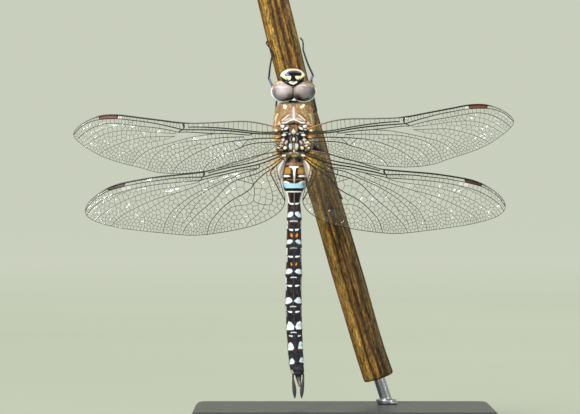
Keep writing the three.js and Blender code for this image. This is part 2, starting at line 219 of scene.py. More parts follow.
def tube(path, radii, sides=12, step=0.12, flat=None):
    """Rings along a curve through path, with the radii eased between its points and rounded ends."""
    p = np.array(path, float)
    c = curve(p, step)
    seg = np.concatenate([[0], np.cumsum(np.linalg.norm(np.diff(c, axis=0), axis=1))])
    # where each given point falls along the curve
    at = [seg[np.linalg.norm(c - q, axis=1).argmin()] for q in p]
    r = np.interp(seg, at, radii)
    d = np.gradient(c, axis=0)
    d /= np.linalg.norm(d, axis=1)[:, None]
    ends = []
    for s in (0.25, 0.6, 0.9):  # rounded start
        ends.append((c[0] - d[0] * r[0] * math.cos(s * math.pi / 2) * 0.8, d[0], r[0] * math.sin(s * math.pi / 2)))
    body = list(zip(c, d, r))
    tail = [(c[-1] + d[-1] * r[-1] * math.cos(s * math.pi / 2) * 0.8, d[-1], r[-1] * math.sin(s * math.pi / 2)) for s in (0.9, 0.6, 0.25)]
    u = np.array([0, 1, 0.0]) if abs(d[0][1]) < 0.9 else np.array([1.0, 0, 0])
    rings = []
    t = np.linspace(0, 2 * math.pi, sides, endpoint=False)
    for q, dd, rr in ends + body + tail:
        u = u - dd * u.dot(dd)
        u /= np.linalg.norm(u)
        w = np.cross(dd, u)
        k = 1.0 if flat is None else flat
        rings.append(q + rr * (np.cos(t)[:, None] * u * k + np.sin(t)[:, None] * w))
    return np.array(rings)


class Many:
    """Several meshes gathered into one."""

    def __init__(s):
        s.v, s.f, s.c, s.n = [], [], [], 0

    def add(s, v, f, c):
        v = np.asarray(v, float)
        s.v.append(v)
        s.f.extend([tuple(i + s.n for i in q) for q in (f.tolist() if isinstance(f, np.ndarray) else f)])
        c = np.asarray(c, float)
        s.c.append(np.broadcast_to(c, (len(v), 3)))
        s.n += len(v)

    def done(s, name, mats, **kw):
        return make(name, np.vstack(s.v), s.f, mats, col=np.vstack(s.c), **kw)


def spike(base, tip, r, sides=5, bend=None, rings=3):
    """A tapered thorn from base to tip."""
    base, tip = np.array(base, float), np.array(tip, float)
    d = tip - base
    L = np.linalg.norm(d)
    d = d / L
    u = np.cross(d, [0.3, 0.5, 0.81])
    u /= np.linalg.norm(u)
    w = np.cross(d, u)
    t = np.linspace(0, 2 * math.pi, sides, endpoint=False)
    out = []
    for k in range(rings):
        s = k / rings
        c = base + d * L * s
        if bend is not None:
            c = c + np.array(bend) * s * s
        out.append(c + r * (1 - s) ** 0.8 * (np.cos(t)[:, None] * u + np.sin(t)[:, None] * w))
    v = np.vstack(out + [tip + (0 if bend is None else np.array(bend))])
    f = grid_faces(rings, sides, True, True).tolist()
    n = rings * sides
    for j in range(sides):
        f.append((n, (rings - 1) * sides + (j + 1) % sides, (rings - 1) * sides + j)[::-1])
    f.append(tuple(range(sides)))
    return v, f


# ------------------------------------------------------------------ materials
class Mat:
    def __init__(s, name, **ins):
        s.m = bpy.data.materials.new(name)
        s.m.use_nodes = True
        s.t = s.m.node_tree
        s.b = s.t.nodes["Principled BSDF"]
        for k, v in ins.items():
            s.put(s.b.inputs[k.replace("_", " ")], v)

    def put(s, sock, v):
        if isinstance(v, bpy.types.NodeSocket):
            s.t.links.new(v, sock)
        else:
            sock.default_value = (*v, 1.0) if isinstance(v, (tuple, list, np.ndarray)) and len(v) == 3 and len(getattr(sock, "default_value", (0, 0, 0))) == 4 else v

    def node(s, kind, ins=None, **props):
        n = s.t.nodes.new("ShaderNode" + kind)
        for k, v in props.items():
            setattr(n, k, v)
        for k, v in (ins or {}).items():
            s.put(n.inputs[k], v)
        return n

    def attr(s, name, fac=False):
        n = s.node("Attribute", attribute_name=name)
        return n.outputs["Fac" if fac else "Color"]

    def pos(s, scale=(1, 1, 1)):
        n = s.node("TexCoord")
        return s.node("Mapping", {"Vector": n.outputs["Object"], "Scale": scale}).outputs[0]

    def noise(s, scale, detail=3.0, rough=0.55, vec=None, out="Fac", dist=0.0):
        return s.node("TexNoise", {"Vector": vec or s.pos(), "Scale": scale, "Detail": detail, "Roughness": rough, "Distortion": dist}).outputs[out]

    def cells(s, scale, vec=None, feature="F1", out="Distance"):
        return s.node("TexVoronoi", {"Vector": vec or s.pos(), "Scale": scale}, feature=feature).outputs[out]

    def math(s, op, a, b=0.0, clamp=False):
        return s.node("Math", {0: a, 1: b}, operation=op, use_clamp=clamp).outputs[0]

    def range(s, v, a, b, c=0.0, d=1.0):
        return s.node("MapRange", {"Value": v, "From Min": a, "From Max": b, "To Min": c, "To Max": d}).outputs[0]

    def mix(s, f, a, b, mode="MIX"):
        n = s.node("Mix", data_type="RGBA", blend_type=mode, clamp_factor=True)
        s.put(n.inputs[0], f)
        for k, v in ((6, a), (7, b)):
            s.put(n.inputs[k], (*v, 1.0) if isinstance(v, (tuple, list, np.ndarray)) and len(v) == 3 else v)
        return n.outputs[2]

    def bump(s, height, strength=0.3, dist=0.00003):
        return s.node("Bump", {"Height": height, "Strength": strength, "Distance": dist}).outputs[0]

    def out(s, **ins):
        for k, v in ins.items():
            s.put(s.b.inputs[k.replace("_", " ")], v)
        return s.m


# ------------------------------------------------------------------ wings
# Veins of the left wings as [out from the midline, z]: C costa, Sc, R1, RP, IR, MA, MP, CU or A, T trailing edge,
# SN nodus, PT pterostigma ends, TR triangle, AL anal loop, AT anal triangle, SUP and MSP supplements.
FORE = dict(
    C=[(2.47,57.19),(4.56,57.8),(7.41,58.4),(10.26,58.61),(15.96,58.35),(20.9,58.29),(25.46,58.82),(30.21,59.43),(33.44,59.83),(36.1,59.79),(38.38,59.28),(40.28,58.33),(41.61,57.23),(42.09,56.39)],
    T=[(2.47,54.77),(3.42,54.11),(4.94,52.88),(8.36,51.26),(12.16,50.21),(16.91,49.17),(21.66,48.71),(25.84,48.92),(29.26,49.83),(33.44,50.88),(36.86,52.11),(39.52,53.63),(41.13,54.81),(41.95,55.72),(42.09,56.39)],
    Sc=[(1.9,56.6),(6.08,56.54),(9.31,56.85),(13.11,57.28),(16.91,57.51),(19.76,57.53),(20.9,57.45)],
    R1=[(1.9,56.2),(6.84,56.26),(10.26,56.6),(13.11,56.86),(16.91,57.0),(20.71,57.04),(21.75,57.19),(24.51,57.83),(27.36,58.4),(30.21,58.78),(33.63,59.13),(37.05,59.01),(39.14,58.48),(40.66,57.64),(41.61,56.67),(42.18,55.91)],
    RP1=[(7.88,56.39),(8.36,56.01),(10.26,56.12),(12.16,56.26),(15.01,56.29),(17.86,56.45),(20.71,56.6),(22.04,56.56),(23.56,56.92),(26.41,57.42),(29.26,57.7),(32.11,58.06),(34.96,58.29),(37.24,57.91),(39.14,57.05),(40.66,55.91),(41.61,54.96)],
    RP2=[(20.52,56.58),(21.66,56.29),(23.56,56.35),(27.36,56.6),(30.21,56.83),(33.06,56.85),(35.34,56.47),(37.24,55.72),(39.14,54.58),(40.28,53.73)],
    IR1=[(32.68,58.1),(34.58,57.62),(36.48,57.05),(38.19,56.2),(39.71,55.06),(41.04,54.3)],
    IR2=[(16.91,56.39),(19.38,56.14),(21.66,55.9),(23.18,55.78),(27.36,55.67),(29.26,55.53),(31.54,54.98),(34.01,54.11),(36.29,52.97),(37.43,51.92)],
    RP34=[(14.25,56.29),(16.91,56.03),(18.81,55.72),(20.71,55.27),(23.18,54.6),(25.46,53.96),(27.36,53.31),(28.69,52.53),(29.83,51.54),(30.59,50.69),(31.07,49.74)],
    MA=[(8.17,56.05),(8.74,55.71),(10.26,55.63),(12.54,55.57),(15.01,55.38),(16.91,55.17),(18.81,55.02),(20.71,54.7),(22.61,54.22),(24.13,53.73),(25.46,53.01),(26.6,52.02),(27.36,50.88),(28.02,48.98)],
    MP=[(1.9,55.42),(6.08,55.38),(8.36,55.19),(10.26,55.0),(11.97,54.79),(13.68,54.49),(15.39,54.0),(17.29,53.25),(19.38,52.21),(21.28,50.97),(22.61,49.64),(23.37,48.22)],
    A=[(1.9,54.76),(6.08,54.57),(7.98,54.34),(9.5,53.92),(10.26,53.54),(12.16,52.88),(14.06,52.02),(15.58,51.07),(16.72,50.12),(17.67,48.6)],
    TRd=[(11.88,54.87),(10.98,54.11),(10.15,53.48)],
    TRp=[(8.55,55.25),(9.4,54.39),(10.18,53.48)],
    TRs=[(8.51,55.19),(8.55,55.78)],
    SN=[(21.3,58.34),(21.02,58.05),(20.93,57.6),(21.0,57.15),(21.66,56.82),(22.1,56.42)],
    PT1=[(33.48,60.0),(33.78,58.97)],
    PT2=[(37.24,59.71),(37.01,58.82)],
    SUP=[(22.61,55.82),(24.51,55.17),(27.36,54.64),(29.26,54.0),(31.16,53.06),(33.06,51.83),(34.39,50.69)],
    MSP=[(16.91,54.77),(19.38,53.82),(21.66,52.88),(23.56,51.83),(24.89,50.5),(25.46,48.6)],
)
HIND = dict(
    C=[(2.09,53.18),(3.33,52.91),(6.46,52.23),(9.31,51.41),(12.16,50.58),(15.26,49.51),(17.29,48.98),(21.66,48.49),(26.41,47.97),(31.16,47.16),(34.01,46.47),(36.48,45.37),(38.38,44.04),(39.52,42.71),(39.86,41.76)],
    T=[(2.94,50.78),(3.27,50.02),(3.08,48.6),(2.66,47.27),(2.17,45.56),(1.71,43.56),(2.47,41.76),(4.56,40.14),(7.41,38.91),(11.21,37.96),(15.96,37.2),(19.76,36.95),(24.51,37.33),(29.26,37.83),(33.44,38.4),(37.24,39.33),(39.14,40.28),(39.79,41.09),(39.86,41.76)],
    Sc=[(1.52,52.88),(2.85,52.44),(4.56,51.83),(6.08,51.28),(8.36,50.67),(10.26,50.29),(12.54,49.82),(15.01,49.19),(16.91,48.6)],
    R1=[(1.14,52.49),(2.66,51.98),(4.56,51.22),(6.08,50.65),(7.41,50.27),(9.31,49.91),(11.21,49.55),(13.11,49.06),(15.39,48.56),(17.29,48.07),(19.76,47.99),(22.61,47.82),(25.46,47.44),(27.36,47.19),(29.26,46.91),(32.4,46.24),(35.34,45.41),(37.24,44.42),(38.76,43.18),(39.62,41.95),(40.09,41.0)],
    RP1=[(6.65,50.59),(6.71,49.76),(8.93,49.44),(10.64,49.13),(13.11,48.56),(15.01,48.11),(16.91,47.67),(17.86,47.4),(19.76,47.25),(22.61,46.98),(24.51,46.81),(27.36,46.43),(30.21,45.88),(33.06,45.14),(35.34,44.27),(37.24,43.17),(38.76,41.87),(39.62,40.62)],
    IR1=[(31.16,45.56),(33.44,44.61),(35.53,43.47),(37.24,42.23),(38.57,40.81),(39.33,39.48)],
    RP2=[(17.29,47.61),(18.81,46.89),(21.66,46.32),(25.46,45.71),(28.31,45.03),(31.16,44.04),(34.01,42.71),(36.29,41.19),(37.62,40.05),(38.57,38.72)],
    IR2=[(13.11,48.6),(15.2,47.65),(16.91,46.97),(18.62,46.32),(20.14,45.75),(22.04,45.1),(24.89,44.31),(27.74,43.28),(30.78,41.85),(33.44,40.24),(35.34,38.15)],
    RP34=[(10.26,49.17),(12.54,47.92),(15.01,46.7),(16.91,45.83),(18.81,44.84),(20.71,43.6),(22.99,41.76),(23.94,40.43),(24.61,38.91),(25.08,36.82)],
    MA=[(6.65,50.01),(7.12,49.51),(8.93,49.02),(10.26,48.6),(12.16,47.65),(14.06,46.74),(15.58,46.02),(16.91,45.26),(18.05,44.5),(19.19,43.74),(20.52,42.6),(21.85,41.11),(22.61,39.86),(23.09,38.53),(23.37,36.44)],
    MP=[(1.33,52.11),(2.66,51.45),(4.18,50.31),(5.7,49.47),(7.03,48.71),(8.36,48.26),(9.69,47.84),(11.02,47.38),(12.35,46.6),(13.49,45.56),(14.63,44.32),(16.34,42.71),(18.24,41.09),(19.76,39.48),(20.9,37.96),(21.47,36.25)],
    CU=[(1.9,51.92),(2.75,50.84),(4.18,49.64),(5.32,48.87),(6.37,48.03),(7.12,47.27),(7.7,46.66),(8.17,45.9),(9.69,44.8),(11.59,43.77),(13.3,42.48),(14.72,41.0),(15.96,39.29),(16.72,36.44)],
    TRd=[(10.83,47.54),(9.12,47.1),(7.6,46.64)],
    TRp=[(8.36,48.45),(7.94,47.46),(7.68,46.59)],
    TRs=[(8.28,48.18),(8.46,49.26)],
    AL1=[(7.66,46.79),(7.52,45.56),(7.56,44.42),(7.68,43.55),(6.84,43.05),(5.7,42.79),(4.56,42.79),(4.08,43.66),(4.18,45.18),(4.66,46.7),(5.13,47.84),(5.22,49.17)],
    A2=[(7.52,43.75),(8.36,42.98),(9.5,42.67),(10.64,42.6),(11.97,42.18),(13.11,41.3),(14.15,40.05),(15.01,38.53),(15.48,36.44)],
    A3=[(5.51,42.98),(6.08,41.76),(7.22,40.62),(8.55,39.48),(9.5,37.77)],
    AT=[(2.75,50.99),(3.99,49.55),(4.48,48.9),(4.18,48.11),(3.71,47.19),(2.81,45.48),(1.8,43.7),(1.33,42.9)],
    AT2=[(3.71,49.64),(3.46,47.84),(2.74,45.94)],
    SN=[(17.23,49.11),(17.1,48.5),(17.48,48.03),(17.71,47.27)],
    PT1=[(32.19,47.04),(32.45,46.09)],
    PT2=[(35.57,45.98),(35.23,45.22)],
    SUP=[(22.42,45.08),(24.89,43.56),(27.36,42.14),(29.45,40.62),(30.97,38.91),(31.54,37.2)],
    MSP=[(16.34,45.08),(17.86,43.56),(19.19,42.04),(20.33,40.43),(21.47,38.72)],
)
FORE_WAVE = dict(C=(0.03, 0.25), Sc=(-0.16, 0.2), R1=(0.15, 0.22), RP1=(-0.1, 0.35), RP2=(-0.04, 0.5), IR2=(0.07, 0.6), RP34=(-0.06, 0.6),
                 MA=(0.07, 0.6), MP=(-0.07, 0.6), A=(0.05, 0.7), SUP=(0.05, 0.5), MSP=(0.06, 0.5))
HIND_WAVE = dict(C=(0.03, 0.25), Sc=(-0.16, 0.2), R1=(0.15, 0.22), RP1=(-0.1, 0.35), RP2=(-0.04, 0.5), IR2=(0.07, 0.6), RP34=(-0.06, 0.6),
                 MA=(0.07, 0.6), MP=(-0.07, 0.55), CU=(0.06, 0.6), AL1=(-0.06, 0.7), A2=(0.08, 0.7), A3=(-0.05, 0.7), SUP=(0.05, 0.5), MSP=(0.06, 0.5))
WIDTH = dict(C=0.27, Sc=0.18, R1=0.24, RP1=0.16, MA=0.155, MP=0.165, A=0.155, CU=0.165, RP2=0.105, IR1=0.085, IR2=0.115, RP34=0.12, SUP=0.08,
             MSP=0.08, SN=0.27, PT1=0.2, PT2=0.2, TRd=0.12, TRp=0.12, TRs=0.15, AL1=0.11, A2=0.1, A3=0.09, AT=0.2, AT2=0.1, T=0.12, B=0.08, x=0.071)


def venation(veins, cell, seed, whole):
    """The wing's veins as a flat net: the main veins, and between them cells about cell(x, z, width) across.
    whole is a field that isn't divided, the pterostigma. Returns points, edges by their vein's name, and cells."""
    rng = np.random.default_rng(seed)
    veins = dict(veins, B=[veins["C"][0], veins["T"][0]])
    curves = {k: curve(v, 0.22) for k, v in veins.items()}
    around = np.vstack([curves["C"], curves["T"]])
    lo, hi = around.min(0) - 2.5, around.max(0) + 2.5
    px = 0.05
    W, H = int((hi[0] - lo[0]) / px) + 1, int((hi[1] - lo[1]) / px) + 1
    wall = np.zeros((H, W), bool)
    for c in curves.values():
        for a, b in zip(c[:-1], c[1:]):
            n = int(np.hypot(*(b - a)) / (px * 0.4)) + 2
            q = ((a + (b - a) * np.linspace(0, 1, n)[:, None] - lo) / px).astype(int)
            q = q[(q[:, 0] >= 0) & (q[:, 1] >= 0) & (q[:, 0] < W - 1) & (q[:, 1] < H - 1)]
            wall[q[:, 1], q[:, 0]] = True
            wall[q[:, 1] + 1, q[:, 0]] = True
    # fields between the main veins, found by joining runs of open pixels row by row
    parent = [0]

    def root(i):
        while parent[i] != i:
            parent[i] = parent[parent[i]]
            i = parent[i]
        return i

    label = np.zeros((H, W), int)
    for y in range(H):
        row = wall[y]
        edge = np.flatnonzero(np.diff(np.concatenate([[True], row, [True]]).astype(int)))
        for s, e in zip(edge[::2], edge[1::2]):
            up = np.unique(label[y - 1, s:e]) if y else np.array([0])
            up = [root(i) for i in up if i > 0]
            if up:
                m = min(up)
                for i in up:
                    parent[i] = m
            else:
                m = len(parent)
                parent.append(m)
            label[y, s:e] = m
    flat = np.array([root(i) for i in range(len(parent))])
    label = flat[label]
    outside = set(np.unique(np.concatenate([label[0], label[-1], label[:, 0], label[:, -1]])))
    label[wall] = -1
    fill = label.copy()
    for _ in range(4):
        for dy, dx in ((0, 1), (1, 0), (0, -1), (-1, 0)):
            s = np.roll(fill, (dy, dx), (0, 1))
            m = (fill == -1) & (s > 0)
            fill[m] = s[m]
    costal = [p for p in veins["C"] if p[0] < veins["Sc"][-1][0] + 0.3] + veins["Sc"][::-1]
    pts, segs, tags = [], [], []

    def add(a, b, tag):
        pts.extend([a, b])
        segs.append((len(pts) - 2, len(pts) - 1))
        tags.append(tag)

    for k, c in curves.items():
        for a, b in zip(c[:-1], c[1:]):
            add(a, b, k)
    for r in np.unique(label):
        if r <= 0 or r in outside:
            continue
        yy, xx = np.nonzero(label == r)
        area = len(yy) * px * px
        if area < 0.12:
            continue
        P = np.stack([xx, yy], 1) * px + lo + px / 2
        mid = P.mean(0)
        if to_poly(mid[0], mid[1], whole) < 0:
            continue
        # the field behind the costa is crossed by single rungs
        if to_poly(mid[0], mid[1], costal) < 0:
            at = 3.1
            while at < veins["Sc"][-1][0] - 0.3:
                q = curves["Sc"][np.abs(curves["Sc"][:, 0] - at).argmin()]
                k = min(len(curves["Sc"]) - 2, max(1, np.abs(curves["Sc"][:, 0] - at).argmin()))
                d = curves["Sc"][k + 1] - curves["Sc"][k - 1]
                d = np.array([-d[1], d[0]]) / np.hypot(*d) + [rng.normal(0.06, 0.05), 0]
                L = 6.0
                for a, b in ((q - d * 0.4, q + d * 3.2),):
                    L = np.hypot(*(b - a))
                    ts = np.linspace(0, 1, int(L / 0.02) + 2)
                    w = ((a + (b - a) * ts[:, None] - lo) / px).astype(int)
                    inr = fill[w[:, 1].clip(0, H - 1), w[:, 0].clip(0, W - 1)] == r
                    if inr.any():
                        t0, t1 = ts[inr].min(), ts[inr].max()
                        add(a + (b - a) * max(0, t0 - 0.13 / L), a + (b - a) * min(1, t1 + 0.13 / L), "x")
                at += rng.uniform(0.8, 1.05)
            continue
        length = math.sqrt(12 * max(np.linalg.eigvalsh(np.cov((P - mid).T))))
        width = area / max(length, 0.1)
        dens = 1.0 / cell(P[:, 0], P[:, 1], width) ** 2
        n = max(1, int(round(dens.sum() * px * px)))
        if n == 1:
            continue
        S = P[rng.choice(len(P), n, replace=False, p=dens / dens.sum())] + rng.normal(0, 0.01, (n, 2))
        sub = P if len(P) < 5000 else P[rng.choice(len(P), 5000, replace=False)]
        dsub = 1.0 / cell(sub[:, 0], sub[:, 1], width) ** 2
        for _ in range(22):
            near = ((sub[:, None, 0] - S[None, :, 0]) ** 2 + (sub[:, None, 1] - S[None, :, 1]) ** 2).argmin(1)
            w = np.bincount(near, dsub, n)
            ok = w > 0
            S[ok, 0] = (np.bincount(near, dsub * sub[:, 0], n)[ok]) / w[ok]
            S[ok, 1] = (np.bincount(near, dsub * sub[:, 1], n)[ok]) / w[ok]
        S += rng.normal(0, 0.018, S.shape)
        if n == 2:
            a, b = S
            m, d = (a + b) / 2, np.array([-(b - a)[1], (b - a)[0]])
            d = d / np.hypot(*d)
            lines = [(m - d * 9, m + d * 9)]
        else:
            ghost = mid + 60.0 * np.array([[math.cos(t), math.sin(t)] for t in np.linspace(0, 2 * math.pi, 13)[:-1] + 0.1])
            res = delaunay_2d_cdt([Vector(g) for g in np.vstack([S, ghost])], [], [], 0, 1e-9)
            V = np.array([list(v) for v in res[0]])
            T = np.array(res[2])
            A, B, C = V[T[:, 0]], V[T[:, 1]], V[T[:, 2]]
            D = 2 * (A[:, 0] * (B[:, 1] - C[:, 1]) + B[:, 0] * (C[:, 1] - A[:, 1]) + C[:, 0] * (A[:, 1] - B[:, 1]))
            D[np.abs(D) < 1e-12] = 1e-12
            a2, b2, c2 = (A**2).sum(1), (B**2).sum(1), (C**2).sum(1)
            cc = np.stack([(a2 * (B[:, 1] - C[:, 1]) + b2 * (C[:, 1] - A[:, 1]) + c2 * (A[:, 1] - B[:, 1])) / D,
                           (a2 * (C[:, 0] - B[:, 0]) + b2 * (A[:, 0] - C[:, 0]) + c2 * (B[:, 0] - A[:, 0])) / D], 1)
            side, lines = {}, []
            for t, tri in enumerate(T):
                for k in range(3):
                    i, j = int(tri[k]), int(tri[(k + 1) % 3])
                    key = (min(i, j), max(i, j))
                    if key in side:
                        lines.append((cc[side[key]], cc[t]))
                    else:
                        side[key] = t
        for a, b in lines:
            L = np.hypot(*(b - a))
            if L < 1e-6:
                continue
            if L > 40:
                u0 = (b - a) / L
                if np.all(np.abs(a - mid) < 45):
                    b = a + u0 * 25
                elif np.all(np.abs(b - mid) < 45):
                    a = b - u0 * 25
                L = np.hypot(*(b - a))
            ts = np.linspace(0, 1, int(L / 0.03) + 2)
            q = ((a + (b - a) * ts[:, None] - lo) / px).astype(int)
            ok = (q[:, 0] >= 0) & (q[:, 1] >= 0) & (q[:, 0] < W) & (q[:, 1] < H)
            inr = np.zeros(len(ts), bool)
            inr[ok] = fill[q[ok, 1], q[ok, 0]] == r
            runs = np.flatnonzero(np.diff(np.concatenate([[False], inr, [False]]).astype(int)))
            for s, e in zip(runs[::2], runs[1::2] - 1):
                t0, t1 = ts[s], ts[e]
                if s > 0:
                    t0 = max(0, t0 - 0.13 / L)
                if e < len(ts) - 1:
                    t1 = min(1, t1 + 0.13 / L)
                if (t1 - t0) * L > 0.03:
                    add(a + (b - a) * t0, a + (b - a) * t1, "x")
    res = delaunay_2d_cdt([Vector(p) for p in pts], segs, [], 3, 2e-3, True)
    V = np.array([list(v) for v in res[0]])
    E = {}
    for (a, b), o in zip(res[1], res[4]):
        names = [tags[i] for i in o if i < len(tags)]
        if a != b and names:
            E[(min(a, b), max(a, b))] = next((t for t in names if t != "x"), "x")

    def prune(E):
        while True:
            deg = {}
            for a, b in E:
                deg[a] = deg.get(a, 0) + 1
                deg[b] = deg.get(b, 0) + 1
            bad = [e for e in E if deg[e[0]] == 1 or deg[e[1]] == 1]
            if not bad:
                return E
            for e in bad:
                del E[e]

    E = prune(E)
    for eps in (0.05, 0.09):  # very short edges close up
        parent = list(range(len(V)))
        used = set()
        for (a, b), nm in sorted(E.items(), key=lambda kv: np.hypot(*(V[kv[0][0]] - V[kv[0][1]]))):
            if np.hypot(*(V[a] - V[b])) < eps and a not in used and b not in used and (nm == "x" or eps < 0.06):
                parent[a] = b
                used.add(a)
                used.add(b)
        F = {}
        for (a, b), nm in E.items():
            a, b = parent[a], parent[b]
            key = (min(a, b), max(a, b))
            if a != b and (key not in F or F[key] == "x"):
                F[key] = nm
        E = prune(F)
    near = {}
    for a, b in E:
        near.setdefault(a, []).append(b)
        near.setdefault(b, []).append(a)
    turn = {}
    for v, ns in near.items():
        ns.sort(key=lambda w: math.atan2(V[w][1] - V[v][1], V[w][0] - V[v][0]))
        for i, w in enumerate(ns):
            turn[(w, v)] = ns[(i - 1) % len(ns)]
    loops, rims, seen = [], [], set()
    for start in list(turn):
        if start in seen:
            continue
        loop, e = [], start
        while e not in seen:
            seen.add(e)
            loop.append(e[0])
            e = (e[1], turn[e])
        p = V[loop]
        q = np.roll(p, -1, 0)
        area = (p[:, 0] * q[:, 1] - q[:, 0] * p[:, 1]).sum() / 2
        (loops if area > 0.002 else rims if area < -1 else []).append(loop)
    return V, E, loops, rims


def fore_cell(x, z, width):
    if width < 1.0:
        return np.full(x.shape, math.sqrt(width * (0.82 if width < 0.55 else 0.6)))
    d, _ = to_line(x, z, FORE["T"])
    return np.minimum(0.47 + 0.1 * d, 0.86)


def hind_cell(x, z, width):
    if width < 1.0:
        return np.full(x.shape, math.sqrt(width * (0.82 if width < 0.55 else 0.6)))
    d, _ = to_line(x, z, HIND["T"][5:])
    return np.minimum(0.5 + 0.1 * d, 0.88) + 0.32 * smooth(15, 7, x)


def place_left(o, z):
    return -o, z


def placer(turn, size, at, to):
    c, s = math.cos(math.radians(turn)), math.sin(math.radians(turn))

    def f(o, z):
        dx, dz = (o - at[0]) * size, (z - at[1]) * size
        return to[0] + dx * c - dz * s, to[1] + dx * s + dz * c

    return f


place_fore_right = placer(3.6, 0.993, (2.85, 57.28), (3.0, 57.28))
place_hind_right = placer(1.35, 1.014, (3.3, 52.87), (3.05, 53.05))

VEIN = lin((24, 18, 17))
VEIN_SOFT = lin((52, 40, 32))
COSTA, COSTA_IN, COSTA_GOLD = lin((116, 108, 116)), lin((62, 52, 54)), lin((188, 122, 48))
AMBER_VEIN = lin((178, 104, 40))
AMBER = lin((232, 178, 34))


